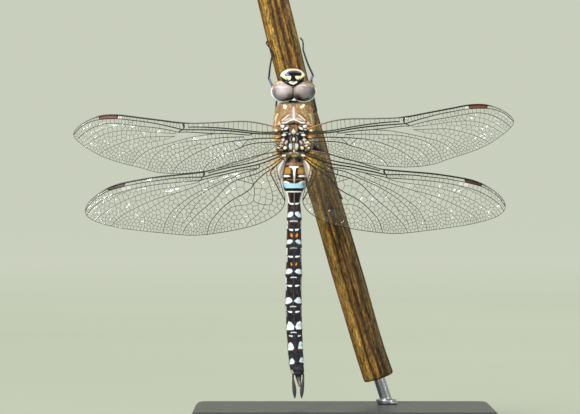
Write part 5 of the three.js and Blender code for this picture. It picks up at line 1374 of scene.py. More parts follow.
def build_head():
    t = np.array(SKULL)
    s = np.concatenate([[0], np.cumsum(np.hypot(np.hypot(np.diff(t[:, 0]), np.diff(t[:, 2])), np.diff(t[:, 4]) * 0.7))])
    q = np.arange(0, s[-1], 0.055)
    k = np.exp(-(np.arange(-4, 5) / 2.2) ** 2)
    k /= k.sum()
    y, xm, hw, zb, zf, sq = [np.convolve(np.pad(np.interp(q, s, t[:, i]), 4, mode="edge"), k, "valid") for i in range(6)]
    n = 168
    a0 = 2 * math.pi * (np.arange(n) + 0.5) / n
    e = 2 / sq[:, None]
    a = np.sign(np.cos(a0)) * np.abs(np.cos(a0)) ** e
    b = np.sign(np.sin(a0)) * np.abs(np.sin(a0)) ** e
    # the frons bulges forward over the clypeus, and the mouth closes below
    pts = np.stack([xm[:, None] + hw[:, None] * a, np.repeat(y[:, None], n, 1), (zf + zb)[:, None] / 2 + ((zf - zb) / 2)[:, None] * b], 2)
    flat = pts.reshape(-1, 3)
    u, v = U(flat[:, 0]), Vv(flat[:, 2])
    yy = flat[:, 1]
    B, A = b.ravel(), a.ravel()
    top = smooth(1.6, 1.2, yy)
    p = Paint(u, v, (222, 214, 168), top)
    front = smooth(0.1, 0.4, B) * smooth(1.3, 1.8, yy)
    back = smooth(0.1, -0.15, B) * smooth(1.3, 2.2, yy)
    one = np.ones(len(u))
    # the face below the frons: pale, with dark seams and a brown-edged lip
    for y0, w, dark in ((2.55, 0.05, 0.8), (3.75, 0.04, 0.7), (4.45, 0.05, 1.0), (5.5, 0.06, 1.0)):
        sag = y0 + 0.25 * (1 - np.abs(A)) * (1 if y0 < 5 else 0.4)
        p.lay(np.abs(yy - sag) - w, (42, 30, 22), edge=0.05, much=dark, show=front, up=-0.07, wide=0.35)
    p.lay(np.abs(yy - 3.3) - 0.55, (204, 206, 150), edge=0.3, much=0.6, show=front)
    p.lay(np.abs(yy - 5.0) - 0.35, (226, 208, 132), edge=0.2, much=0.8, show=front)
    p.lay(np.abs(A) * -3 + 2.72, (120, 112, 88), edge=0.4, much=0.6, show=front)
    for sx in (-1, 1):
        p.lay(np.hypot((flat[:, 0] - HEAD_X - sx * 0.75) / 0.16, (yy - 3.15) / 0.2) - 1, (90, 76, 54), edge=0.5, much=0.8, show=front, up=-0.05, wide=0.5)
    p.lay(5.75 - yy, (70, 44, 28), edge=0.25, much=0.9, show=one * smooth(5.3, 5.8, yy))
    p.lay(6.6 - yy, (150, 118, 74), edge=0.3, much=0.8, show=one)
    p.lay(np.abs(np.abs(A) - 0.45) * 2 - 0.04, (28, 18, 14), edge=0.08, show=smooth(5.8, 6.2, yy), up=-0.07, wide=0.3)
    p.lay(one * -1, (30, 24, 22), edge=0.2, show=back)
    p.lay(np.abs(np.abs(A) - 0.8) * 6 - 0.7, (206, 200, 170), edge=0.5, much=0.8, show=back * smooth(2.6, 3.2, yy))
    # the top of the frons
    p.shape(FRONS, (250, 248, 238), edge=0.3, rough=0.4)
    p.shape([(281.2, 76), (285, 75.8), (288.8, 76.7), (291.1, 77.1), (290.2, 78.6), (288.8, 79.8), (286.4, 79.7), (283, 78.3), (281.1, 77.4)], (252, 248, 214), edge=0.4)
    p.shape([(301.2, 72.4), (302.8, 73.2), (303.7, 75.6), (303.3, 77.1), (300.1, 78.5), (297.3, 79.0), (295.8, 78.0), (295.1, 76.5), (300.1, 75.7), (301.6, 74.6)], (250, 243, 188), edge=0.5)
    p.shape([(285.8, 73.4), (287.6, 71.6), (290.6, 70.2), (296, 69.9), (299.6, 71.0), (301.2, 73.0), (301.0, 74.4), (286.0, 74.9)], (186, 134, 78), edge=0.7, much=0.85)
    p.shape([(286.2, 73.6), (288.6, 71.6), (292, 70.9), (296.5, 71.1), (300.2, 72.4), (301.4, 73.8), (301.3, 75.2), (299.6, 76.1), (295.6, 75.9), (295.2, 77.0), (295.9, 78.6), (298.4, 80.2),
             (290.0, 80.8), (290.8, 78.4), (291.2, 77.0), (290.6, 75.9), (286.4, 76.0), (285.0, 75.2), (285.2, 74.0)], (12, 11, 14), edge=0.35, rough=0.18)
    # painted highlights on the black crossbar: a blue-grey sheen along its top edge and a lilac one at its left end
    p.line([(288.6, 72.4), (292, 71.8), (296.4, 72.0), (299.6, 72.8)], 0.9, (96, 108, 146), edge=0.45, much=0.75)
    p.spot(287.0, 74.4, 1.9, 1.0, (176, 172, 206), edge=0.6, much=0.85)
    p.line([(285.2, 74.9), (286.0, 75.3)], 0.8, (16, 14, 18), edge=0.3)
    base = np.array(FRONS[8:]) + 0
    p.line([(280.4, 77.6), (282.6, 79.6), (285.5, 81.6), (289.0, 83.4), (293.0, 84.2), (296.6, 83.4), (299.8, 81.6), (302.7, 79.8), (304.8, 77.4)], 3.2, (9, 8, 11), edge=0.35, rough=0.2)
    p.shape([(289, 80), (297.5, 80), (299.5, 83.5), (293, 86), (286.6, 83.5)], (9, 8, 11), edge=0.4, rough=0.2)
    p.shape([(288.9, 82.2), (289.8, 81.7), (291.0, 81.5), (293.2, 82.2), (296.4, 81.2), (297.5, 81.6), (296.2, 82.6), (294.9, 83.2), (293.5, 83.8), (291.8, 83.6), (290.2, 82.9)], (250, 248, 232), edge=0.3, rough=0.35)
    p.spot(293.2, 81.4, 1.5, 0.5, (150, 146, 154), edge=0.5, much=0.9)
    p.spot(299.5, 80.4, 0.45, 0.35, (230, 232, 240), edge=0.3)
    # relief: a crest along the frons, the trough behind it, the raised vertex
    p.up += top * (0.16 * bell(to_oval(u, v, 292.6, 75.2, 9.0, 3.4), 2.2) * (to_oval(u, v, 292.6, 75.2, 9.0, 3.4) > -9))
    p.up -= top * 0.3 * bell(to_line(u, v, [(281.6, 78.6), (285.9, 80.9), (289.4, 81.6), (293.0, 80.8), (297.0, 81.2), (300, 80.6), (303.6, 78.4)])[0], 1.1)
    p.up += top * 0.26 * bell(to_oval(u, v, 293.2, 82.6, 3.4, 1.2), 1.1)
    p.up += 0.008 * noise3(flat, 4.0, 41)
    rows = len(y)
    nn = normals(flat, grid_faces(rows, n, True, False))
    if (nn[: n * 10, 1]).mean() > 0:
        nn = -nn
    out = flat + nn * np.clip(p.up, -0.3, 0.35)[:, None]
    vv, ff = lofted(out.reshape(rows, n, 3), True, False)
    m = Mat("face")
    c = m.mix(m.range(m.noise(5200, 3), 0.3, 0.75, 0.0, 0.35), m.attr("Col"), m.mix(1.0, m.attr("Col"), (0.86, 0.84, 0.78), "MULTIPLY"))
    r = m.math("ADD", m.attr("Rough", True), m.range(m.noise(7000, 2), 0.3, 0.7, -0.05, 0.08), True)
    mat = m.out(Base_Color=c, Roughness=r, Normal=m.bump(m.noise(15000, 2, 0.6), 0.3, 0.00001), Coat_Weight=0.06, Coat_Roughness=0.2, Specular_IOR_Level=0.2)
    col = np.vstack([p.col, p.col[:1], p.col[-1:]])
    piece(make("head_skin", vv, ff, mat, col=col, attrs={"Rough": np.concatenate([p.rough, [0.3, 0.5]])}), "face_cream", "head", "mouthparts")
    return out, nn


def build_eyes():
    rows, n = 118, 176
    th = (np.linspace(0.012, 1, rows) ** 0.92) * (math.pi - 0.04)
    a0 = 2 * math.pi * np.arange(n) / n
    m = Mat("compound_eye", Specular_IOR_Level=0.28)
    facet = m.cells(30000, out="Distance")
    c = m.mix(m.range(m.noise(2600, 4, 0.6), 0.3, 0.7, 0, 0.4), m.attr("Col"), m.mix(1.0, m.attr("Col"), (0.8, 0.79, 0.82), "MULTIPLY"))
    mat = m.out(Base_Color=c, Roughness=m.range(m.noise(3000, 2), 0.3, 0.7, 0.34, 0.44), Normal=m.bump(facet, 0.25, 0.000006), Coat_Weight=0.07, Coat_Roughness=0.3)
    for name, s in (("left", -1), ("right", 1)):
        x = np.outer(np.sin(th), np.cos(a0)) * EYE_R[0] * 0.985
        z = np.outer(np.sin(th), np.sin(a0)) * EYE_R[2] * 0.985
        y = -np.outer(np.cos(th), np.ones(n)) * EYE_R[1] * 0.985
        pts = np.stack([x, y, z], 2).reshape(-1, 3)
        ex = (pts[:, 0] / EYE_R[0]) ** 2 + (pts[:, 2] / EYE_R[2]) ** 2
        pts += [HEAD_X + s * EYE_AT[0], EYE_AT[1], EYE_AT[2]]
        if s > 0:
            pts[:, 0] = HEAD_X + (pts[:, 0] - HEAD_X) * WIDER
        u, v = U(pts[:, 0]), Vv(pts[:, 2])
        up = smooth(3.9, 3.0, pts[:, 1])
        p = Paint(u, v, (166, 166, 134), up)
        one = np.ones(len(u))
        p.lay(one * -1, (160, 144, 140), edge=0.2)
        big = lambda cx, cy, rx, ry, rgb, e, k=1.0: p.spot(cx, cy, rx, ry, rgb, edge=e, much=k)
        if s < 0:
            # painted highlight: a broad soft one on the upper bulge of the eye
            big(282.5, 91.6, 6.0, 4.0, (208, 198, 188), 3.8)
            big(279.0, 82.6, 5.4, 2.2, (230, 217, 192), 1.8)
            big(286.0, 84.5, 3.0, 1.2, (208, 190, 170), 1.2, 0.7)
            # painted highlight: a pale band across the eye
            p.line([(274.6, 87.4), (279, 86.8), (284, 87.2), (289.0, 86.6)], 1.3, (232, 230, 226), edge=1.0, much=0.75)
            # painted shade: darker towards the outer edge
            big(274.4, 93.0, 1.8, 6.0, (112, 112, 106), 1.8, 0.85)
            big(290.4, 89.0, 2.2, 3.0, (198, 184, 168), 1.8, 0.75)
            # painted shade: darker towards the bottom of the eye by the seam, down to black at its lowest
            big(290.2, 96.4, 2.8, 2.6, (56, 50, 48), 2.2, 0.85)
            big(278.0, 98.2, 3.4, 1.6, (146, 142, 150), 1.8, 0.7)
            big(288.6, 99.0, 4.6, 1.3, (14, 12, 14), 1.6, 0.95)
            big(281.5, 85.0, 1.2, 0.7, (196, 190, 200), 0.8, 0.8)
            big(279.6, 83.6, 1.3, 0.55, (70, 36, 10), 0.6, 0.8)
            big(276.4, 84.6, 0.9, 0.5, (80, 50, 24), 0.6, 0.7)
            big(283.2, 83.9, 1.0, 0.45, (80, 42, 14), 0.5, 0.7)
            p.line([(281.6, 79.7), (284.6, 82.0), (288.0, 84.0), (290.8, 85.2)], 1.3, (186, 112, 30), edge=0.45, much=0.95)
            # painted shade: a black crescent along the eye's lowest edge by the seam
            p.line([(291.2, 97.2), (288.8, 99.4), (284.4, 100.6), (279.4, 100.0)], 1.5, (14, 12, 14), edge=0.8, much=0.95)
        else:
            p.lay(one * -1, (140, 130, 122), edge=0.2)
            # painted highlight: a broad soft one on the upper bulge of the eye, brightest at its middle
            big(299.6, 90.4, 4.4, 3.6, (158, 147, 136), 2.6)
            big(297.0, 88.8, 2.2, 2.6, (192, 177, 162), 1.8, 0.75)
            # painted shade: darker towards the bottom of the eye by the seam
            big(297.6, 96.6, 3.0, 2.4, (50, 45, 42), 2.2, 0.85)
            big(308.6, 90.4, 3.8, 4.6, (138, 134, 130), 3.0, 0.8)
            # painted shade: the outer edge darkens to near black
            big(311.6, 92.6, 2.4, 5.4, (104, 102, 98), 2.2, 0.85)
            big(313.6, 92.0, 1.3, 5.6, (56, 52, 46), 1.8, 0.85)
            big(306.4, 83.4, 5.0, 1.1, (188, 154, 100), 0.9, 0.9)
            big(307.4, 81.6, 5.4, 1.5, (84, 52, 12), 1.0, 0.95)
            big(303.8, 82.4, 1.2, 0.6, (232, 214, 176), 0.6, 0.9)
            big(307.0, 81.3, 1.1, 0.5, (226, 190, 130), 0.5, 0.9)
            big(307.6, 83.4, 1.0, 0.5, (214, 190, 150), 0.5, 0.9)
            big(309.4, 83.8, 2.6, 1.0, (150, 126, 96), 0.9, 0.7)
            # painted highlight: a pale band across the eye, dimmer towards the outer edge
            p.line([(305.4, 85.4), (309.0, 85.2), (313.0, 86.2)], 1.1, (170, 168, 164), edge=0.8, much=0.6)
            p.line([(297.5, 86.2), (301.6, 85.0), (305.4, 85.4)], 1.3, (220, 214, 208), edge=0.9, much=0.8)
            big(312.4, 86.2, 0.9, 0.6, (170, 176, 186), 0.6, 0.7)
            big(305.4, 83.2, 1.6, 0.8, (142, 112, 74), 0.9, 0.8)
            p.shape([(310.3, 79.8), (311.5, 80.2), (313.8, 83.0), (313.5, 84.0), (311.6, 82.9), (310.4, 81.2)], (12, 9, 10), edge=0.4)
            p.line([(304.4, 80.4), (306.4, 80.2)], 0.8, (14, 10, 10), edge=0.35)
            # painted shade: black at the eye's lowest part by the seam
            big(299.0, 98.4, 4.4, 1.5, (16, 13, 15), 1.6, 0.95)
            # painted highlight: a faint pale patch low on the outer side
            big(306.0, 96.4, 4.0, 2.2, (150, 148, 152), 2.4, 0.6)
            p.line([(304.2, 78.6), (302.3, 81.6), (299.4, 83.6), (296.4, 85.2)], 1.3, (150, 98, 22), edge=0.45, much=0.95)
            # painted shade: a black crescent along the eye's lowest edge by the seam
            p.line([(297.2, 97.2), (299.8, 99.4), (304.2, 99.8), (308.6, 98.0)], 1.5, (14, 12, 14), edge=0.8, much=0.95)
        p.col *= 1 + (np.array([0.0, -0.025, 0.12])) * (smooth(85, 87, v) * up)[:, None]
        # below the middle of its height the eye is greenish; the fore edge is orange-brown, and a pale rim runs round the rear
        e = np.sqrt(ex)
        yy = pts[:, 1]
        p.lay(one * -1, (156, 158, 118), edge=0.2, show=smooth(3.0, 4.6, yy))
        p.lay(np.abs(yy - 3.6) - 0.1, (120, 112, 100), edge=0.7, much=0.5, show=smooth(1.6, 2.8, yy))
        # painted shade: a dark band just inside the rim round the rear of the eye
        p.lay((0.86 - e) * 11, (58, 62, 66), edge=0.9, much=0.8, show=smooth(87, 92, v) * smooth(3.2, 2.7, yy))
        # a belt round the widest part: orange in front, white behind, pale blue at its lowest
        fore = smooth(90.5, 87.5, v)
        belt = smooth(0.915 - 0.06 * fore, 0.95 - 0.035 * fore, e) * smooth(3.3 - 0.6 * fore, 2.5 - 0.7 * fore, yy) * smooth(0.9, 2.0, s * (pts[:, 0] - HEAD_X) + 0.6 * np.abs(pts[:, 2] - EYE_AT[2]))
        t = smooth(85.5, 89.5, v)[:, None]
        low = (smooth(94.0, 99.0, v) * 0.6)[:, None]
        rgb = lin((212, 126, 28) if s < 0 else (138, 88, 12)) * (1 - t) + (lin((252, 253, 250)) * (1 - low) + lin((170, 210, 236)) * low) * t
        p.col += (rgb - p.col) * (belt * (0.92 + 0.08 * noise3(pts, 2.5, 44)))[:, None]
        p.lay(np.abs(u - U(HEAD_X)) - 0.1, (120, 106, 98), edge=0.6, much=0.25 + 0.5 * smooth(89, 94, v))
        ins = to_poly(u, v, FRONS)
        pts[:, 1] += 1.5 * smooth(1.0, 0.1, ins) * (pts[:, 1] < 2.6)
        seam = HEAD_X + s * 0.025
        pts[:, 0] = np.maximum(pts[:, 0], seam) if s > 0 else np.minimum(pts[:, 0], seam)
        vv, ff = lofted(pts.reshape(rows, n, 3), True, True)
        col = np.vstack([p.col, p.col[:1], p.col[-1:]])
        piece(make("compound_eye_" + name, vv, ff, mat, col=col), "eye", "eye_" + name)


def ball(g, c, r, rgb, rows=12, n=18):
    """Adds an ellipsoid of radii r round c."""
    t = np.linspace(0.08, math.pi - 0.08, rows)
    a = np.linspace(0, 2 * math.pi, n, endpoint=False)
    q = np.stack([np.outer(np.sin(t), np.cos(a)) * r[0], np.outer(-np.cos(t), np.ones(n)) * r[1], np.outer(np.sin(t), np.sin(a)) * r[2]], 2) + np.array(c)
    v, f = lofted(q, True, True)
    g.add(v, f, rgb)


def build_rims():
    """The pale rim that the head's back edge shows round both eyes, and the dark lumps at the wings' roots."""
    g = Many()
    for s in (-1, 1):
        deg = np.linspace(34, -126, 80)
        a = np.radians(deg)
        x = HEAD_X + s * (EYE_AT[0] + EYE_R[0] * 0.94 * np.cos(a)) * (WIDER if s > 0 else 1)
        z = EYE_AT[2] + EYE_R[2] * 0.945 * np.sin(a)
        y = 1.92 + 0.2 * np.sin(a)
        w = (0.15 if s < 0 else 0.11) * smooth(36, -6, deg) * smooth(-127, -108, deg) + 0.012
        v, f = lofted(tube(np.stack([x, y, z], 1), w, 14, 0.07))
        blue = (smooth(94.5, 98, Vv(v[:, 2])) * smooth(0.2, 1.0, np.abs(v[:, 0] - HEAD_X - s * 1.9)))[:, None] * 0.75
        gold = smooth(88.5, 84.5, Vv(v[:, 2]))[:, None]
        c = lin((255, 255, 255)) * (1 - blue) + lin((186, 224, 246)) * blue
        g.add(v, f, c * (1 - gold) + lin((190, 112, 30)) * gold)
    m = Mat("eye_rim", Roughness=0.4)
    c = m.mix(m.range(m.noise(5000, 2), 0.3, 0.75, 0, 0.5), m.attr("Col"), m.mix(1.0, m.attr("Col"), (0.94, 0.94, 0.93), "MULTIPLY"))
    piece(g.done("eye_rims", m.out(Base_Color=c, Coat_Weight=0.2, Coat_Roughness=0.2)), "face_cream")
    g = Many()
    black, brown = (16, 14, 17), (120, 72, 34)
    cream = (250, 246, 228)
    for cu, cv, ru, rv, dep, rgb in ((284.0, 155.5, 2.0, 1.15, 0.6, cream), (279.6, 142.4, 1.5, 1.05, 0.5, (250, 242, 222)), (280.4, 145.4, 1.2, 0.9, 0.5, (236, 216, 212)), (278.4, 148.0, 1.3, 0.8, 0.55, (240, 214, 166)),
                                     (281.6, 139.6, 1.1, 0.6, 0.35, (248, 236, 216)), (279.2, 139.4, 1.4, 0.5, 0.35, black), (279.0, 128.4, 1.6, 0.7, 0.15, (252, 246, 232)), (279.9, 130.9, 1.7, 0.8, 0.05, black), (280.2, 133.5, 2.1, 1.0, 0.0, black), (280.8, 137.0, 1.7, 0.9, 0.05, black), (279.6, 126.2, 1.6, 0.9, 0.0, brown),
                                     (279.3, 151.3, 2.6, 1.2, 0.3, black), (282.8, 152.6, 1.9, 1.0, 0.25, black), (277.3, 149.2, 1.4, 0.9, 0.4, (44, 34, 36)), (281.0, 156.4, 1.6, 0.8, 0.6, (150, 110, 40)),
                                     (283.4, 159.2, 1.2, 0.7, 0.62, (40, 30, 26)), (277.2, 137.4, 2.2, 0.8, -0.05, (214, 144, 60)), (275.9, 130.6, 1.3, 1.2, 0.1, (246, 234, 214)), (277.2, 124.9, 1.5, 0.7, 0.05, (206, 128, 56))):
        for k in (-1, 1):
            uu = 293.6 + k * (293.6 - cu)
            dark = rgb is black
            ball(g, (float(X(uu - k * 0.5 * dark)), dep + 0.05, float(Z(cv))), (ru * UNIT * (1.35 if dark else 1.0), 0.2, rv * UNIT * (0.85 if dark else 1.0)), lin(rgb))
    m = Mat("wing_hinge", Roughness=0.3)
    c = m.mix(m.range(m.noise(5000, 2), 0.3, 0.75), m.attr("Col"), m.mix(1.0, m.attr("Col"), (1.8, 1.7, 1.7), "MULTIPLY"))
    piece(g.done("wing_hinges", m.out(Base_Color=c, Normal=m.bump(m.noise(9000, 2), 0.3, 0.00001))), "thorax_brown")


def build_head_bits():
    """Antennae, ocelli and the cream triangle behind the eyes."""
    m = Mat("bristle", Roughness=0.35)
    mat = m.out(Base_Color=m.mix(m.range(m.noise(9000, 2), 0.3, 0.7), m.attr("Col"), m.mix(1.0, m.attr("Col"), (1.6, 1.5, 1.4), "MULTIPLY")))
    for name, s in (("left", -1), ("right", 1)):
        x = HEAD_X + s * 1.05
        tip = np.array([HEAD_X + s * 1.9, -0.9, 68.6])
        root = np.array([x, 0.42, 66.2])
        g = Many()
        d = (tip - root) / np.linalg.norm(tip - root)
        bow = np.array([s * 0.12, -0.05, 0.1])
        v, f = lofted(tube([root, root + d * 0.16, root + d * 0.32], [0.085, 0.1, 0.08], 12, 0.04))
        g.add(v, f, lin((24, 20, 22)))
        v, f = lofted(tube([root + d * 0.34, root + d * 0.5, root + d * 0.62], [0.06, 0.075, 0.05], 12, 0.04))
        g.add(v, f, lin((30, 24, 24)))
        v, f = lofted(tube([root + d * 0.64, root + d * 1.3 + bow, root + d * 2.0 + bow, tip], [0.035, 0.026, 0.018, 0.01], 8, 0.1))
        g.add(v, f, lin((20, 17, 18)))
        piece(g.done("antenna_bristle_" + name, mat), "leg_black", "antenna_" + name)
    # ocelli
    g = Many()
    for cu, cv, r, dep in ((293.1, 80.0, 0.15, 0.36), (289.0, 80.9, 0.13, 0.5), (297.9, 80.5, 0.13, 0.5)):
        t = np.linspace(0.05, math.pi - 0.05, 14)
        q = np.array([[(math.sin(k) * math.cos(j) * r, -math.cos(k) * r, math.sin(k) * math.sin(j) * r) for j in np.linspace(0, 2 * math.pi, 20, endpoint=False)] for k in t])
        v, f = lofted(q + [X(cu), dep, Z(cv)], True, True)
        g.add(v, f, lin((36, 26, 22)))
    o = Mat("ocellus", Roughness=0.08, Coat_Weight=0.6, Coat_Roughness=0.05)
    piece(g.done("ocelli", o.out(Base_Color=o.mix(o.range(o.noise(5000, 2), 0.4, 0.7), o.attr("Col"), lin((120, 86, 50))))), "leg_black")
    # triangle behind the seam of the eyes: a small cushion
    rows, n = 22, 60
    outline = curve([(294.2, 97.2), (295.1, 98.6), (297.0, 100.1), (296.4, 100.9), (294.0, 101.0), (291.6, 100.9), (291.0, 100.2), (293.2, 98.6), (294.2, 97.2)], 0.1)
    idx = np.linspace(0, len(outline) - 1, n, endpoint=False)
    outline = np.stack([np.interp(idx, np.arange(len(outline)), outline[:, k]) for k in (0, 1)], 1)
    c = np.array([294.0, 99.9])
    rings = []
    for k in np.linspace(0.04, 1, rows):
        q = c + (outline - c) * k
        yq = 0.72 + 1.1 * (1 - math.sqrt(max(0, 1 - k * k * 0.96)))
        rings.append(np.stack([X(q[:, 0]), np.full(n, yq), Z(q[:, 1])], 1))
    q = c + (outline - c) * 0.96
    rings.append(np.stack([X(q[:, 0]), np.full(n, 2.8), Z(q[:, 1])], 1))
    v, f = lofted(np.array(rings), True, True)
    if normals(v, f)[: n * 4, 1].mean() > 0:
        f = [g_[::-1] for g_ in f]
    t = Mat("triangle", Roughness=0.42)
    uu, vv_ = U(v[:, 0]), Vv(v[:, 2])
    pc = Paint(uu, vv_, (255, 253, 242))
    pc.lay(100.75 - vv_, (30, 24, 24), edge=0.2)
    piece(make("occiput", v, f, t.out(Base_Color=t.mix(t.range(t.noise(6000, 3), 0.35, 0.75, 0, 0.4), t.attr("Col"), t.mix(1.0, t.attr("Col"), (0.9, 0.87, 0.78), "MULTIPLY"))), col=pc.col), "face_cream")


# ------------------------------------------------------------------ hair
def hairs(name, roots, dirs, length, width, colours, uv_at, slot, mat, bend, seed, sides=3, rings=3):
    """Tapered solid hairs in one joined mesh. Each is a patch 0.003 across at its root's place on the skin's unwrap."""
    rng = np.random.default_rng(seed)
    n = len(roots)
    d = dirs / np.linalg.norm(dirs, axis=1)[:, None]
    side = np.cross(d, rng.normal(size=(n, 3)))
    side /= np.linalg.norm(side, axis=1)[:, None]
    w = np.cross(d, side)
    ang = np.linspace(0, 2 * math.pi, sides, endpoint=False)
    layers = []
    for k in range(rings):
        s = k / rings
        c = roots + d * (length * s)[:, None] + bend * (length * s * s)[:, None]
        r = width * (1 - 0.75 * s) / 2
        for a in ang:
            layers.append(c + (side * math.cos(a) + w * math.sin(a)) * r[:, None])
    layers.append(roots + d * length[:, None] + bend * length[:, None])
    v = np.stack(layers, 1)
    m = v.shape[1]
    face = []
    for k in range(rings - 1):
        for j in range(sides):
            jj = (j + 1) % sides
            a, b, c_, e = k * sides + j, k * sides + jj, (k + 1) * sides + jj, (k + 1) * sides + j
            face += [(a, b, c_), (a, c_, e)]
    for j in range(sides):
        face.append(((rings - 1) * sides + j, (rings - 1) * sides + (j + 1) % sides, m - 1))
    face.append((2, 1, 0))
    face = np.array(face)
    f = (face[None] + (np.arange(n) * m)[:, None, None]).reshape(-1, 3)
    shade = np.repeat(colours, m, 0).reshape(n, m, 3) * np.linspace(0.75, 1.15, m)[None, :, None]
    local = np.zeros((m, 2))
    for k in range(rings):
        for j in range(sides):
            local[k * sides + j] = (j / (sides - 1) - 0.5, k / rings - 0.5)
    local[m - 1] = (0, 0.5)
    uv = (uv_at[:, None] + local[None] * 0.003).reshape(-1, 2)[f.ravel()]
    return piece(make(name, v.reshape(-1, 3), f.tolist(), mat, col=shade.reshape(-1, 3), uv=uv), slot)


def hair_material():
    m = Mat("hair")
    c = m.mix(m.range(m.noise(1500, 3), 0.35, 0.7), m.attr("Col"), m.mix(1.0, m.attr("Col"), (1.35, 1.3, 1.2), "MULTIPLY"))
    return m.out(Base_Color=c, Roughness=m.range(m.noise(4000, 2), 0.3, 0.7, 0.45, 0.65))


def build_hair(skin, head):
    pts, nn, tt = skin
    rng = np.random.default_rng(77)
    rows, cols = pts.shape[:2]
    P, N = pts.reshape(-1, 3), nn.reshape(-1, 3)
    u, v = U(P[:, 0]), Vv(P[:, 2])
    dorsal = smooth(-0.2, -0.75, N[:, 1])
    area = np.linalg.norm(np.cross(np.roll(pts, -1, 1) - pts, np.roll(pts, -1, 0) - pts), axis=2).reshape(-1)
    # dense on the flanks, shoulders and below, thin on the back, none on the pale plates of the wing field
    dens = 1.0 + 0.9 * (1 - dorsal)
    dens *= smooth(101.0, 102.5, v) * smooth(158, 150, v)
    field = to_poly(u, v, [(282, 121), (306, 121), (309, 126), (310, 152), (278, 152), (279, 126)])
    dens = np.where((dorsal > 0.3) & (field < 0), 0.1, dens)
    for su, sv, sr in ((285, 106.5, 2.4), (302.6, 106.3, 2.4)):
        dens = np.where((dorsal > 0.2) & (np.hypot(u - su, v - sv) < sr), 0.03, dens)
    dens = np.where((N[:, 1] < -0.2) & (v > 114) & (v < 145), dens * 0.35, dens)
    dens = np.where((dorsal > 0.2) & (np.abs(u - 293.7) < 1.6 + 3 * smooth(112, 121, v)) & (v < 122), 0.08, dens)
    w = dens * area
    mat = hair_material()
    total = 0
    for part in range(2):
        n = 5200
        i = rng.choice(len(P), n, p=w / w.sum())
        r, c = i // cols, i % cols
        jit = rng.uniform(0, 1, (n, 2))
        r2, c2 = np.minimum(r + 1, rows - 1), (c + 1) % cols
        root = pts[r, c] * (1 - jit[:, :1]) + pts[r2, c] * jit[:, :1] + (pts[r, c2] - pts[r, c]) * jit[:, 1:]
        no = N[i]
        top = dorsal[i][:, None]
        back = np.array([0, 0, -1.0])
        d = no * (0.75 - 0.35 * top) + back * (0.5 + 0.3 * top) + rng.normal(0, 0.22, (n, 3)) + np.sign(P[i, :1]) * np.array([[0.15, 0, 0]])
        L = rng.uniform(0.3, 0.66, n) * (1 - 0.3 * top[:, 0])
        k = rng.uniform(0, 1, n)[:, None]
        col = lin((168, 138, 92)) * (1 - k) + lin((222, 210, 180)) * k
        at = np.stack([((c + jit[:, 1]) / cols) * 0.98 + 0.01, (63.4 - root[:, 2]) / 14.0 * 0.97 + 0.01], 1)
        hairs("thorax_hair_%d" % (part + 1), root - no * 0.03, d, L, rng.uniform(0.02, 0.034, n), col, at, "thorax_brown", mat, np.array([0, 0.05, -0.3]), 5 + part)
        total += n
    # a short dark fringe on the first segments and the tip, seen at the outline only
    ab = smooth(158, 162, v) * np.where(v < 190, 1.0, 0.3)
    w = ab * area
    n = 2600
    i = rng.choice(len(P), n, p=w / w.sum())
    r, c = i // cols, i % cols
    d = N[i] * 0.35 + np.array([0, 0, -1.0]) + rng.normal(0, 0.12, (n, 3))
    k = rng.uniform(0, 1, n)[:, None]
    at = np.stack([(c / cols) * 0.98 + 0.01, (53.0 - P[i, 2]) / 43.0 * 0.97 + 0.01], 1)
    hairs("abdomen_hair", P[i] - N[i] * 0.01, d, rng.uniform(0.12, 0.26, n), np.full(n, 0.014), lin((46, 38, 34)) * (1 - k) + lin((120, 104, 84)) * k, at, "abdomen_dark", mat,
          np.array([0, 0, -0.1]), 9)
    # the face: black hairs in front, pale ones behind the jaws
    hp, hn = head
    dens = smooth(0.2, 0.6, hn[:, 2]) * smooth(1.0, 1.8, hp[:, 1]) + 0.7 * smooth(5.2, 6.2, hp[:, 1]) + 0.15 * (hp[:, 1] < 1.2)
    n = 1500
    i = rng.choice(len(hp), n, p=dens / dens.sum())
    d = hn[i] + rng.normal(0, 0.25, (n, 3)) + [0, 0.25, 0.1]
    dark = (rng.uniform(0, 1, n) < 0.7)[:, None]
    at = np.stack([(np.arctan2(hn[i, 2], hn[i, 0]) / (2 * math.pi) + 0.5) * 0.98 + 0.01, hp[i, 1] / 7.6 * 0.97 + 0.01], 1)
    hairs("face_hair", hp[i] - hn[i] * 0.01, d, rng.uniform(0.15, 0.42, n) * np.where(hp[i, 1] < 1.2, 0.45, 1), np.full(n, 0.015), np.where(dark, lin((26, 22, 22)), lin((150, 130, 96))), at,
          "leg_black", mat, np.array([0, 0.2, 0.1]), 12)


def build_body():
    skin = build_skin()
    head = build_head()
    build_eyes()
    build_rims()
    build_head_bits()
    build_hair(skin, head)


# ------------------------------------------------------------------ legs
LEGS = {
    "front_left": ((-1.3, 7.0, 61.0), (-4.83, 6.4, 67.0), (-4.09, 9.5, 71.93), [(-4.67, 9.9, 73.0), (-5.28, 10.6, 73.83), (-5.22, 11.1, 74.24)]),
    "front_right": ((1.2, 7.0, 61.0), (3.64, 6.4, 67.55), (1.77, 10.4, 72.55), [(1.78, 11.4, 73.55), (1.7, 11.9, 74.4), (1.25, 12.2, 75.0)]),
    "middle_left": ((-1.6, 8.3, 59.2), (-3.5, 9.4, 60.6), (-3.1, 10.6, 64.9), [(-3.5, 11.6, 66.3)]),
    "middle_right": ((1.6, 8.3, 59.2), (4.3, 8.9, 60.9), (3.5, 10.9, 65.6), [(3.4, 11.7, 67.3)]),
    "hind_left": ((-1.3, 9.0, 56.0), (-2.6, 10.4, 53.4), (2.0, 11.6, 48.2), [(2.55, 12.6, 46.2), (3.1, 12.9, 44.3)]),
    "hind_right": ((1.7, 8.8, 56.2), (4.4, 9.4, 53.6), (7.1, 10.9, 47.9), [(8.5, 12.3, 45.7), (9.35, 13.0, 43.8)])}


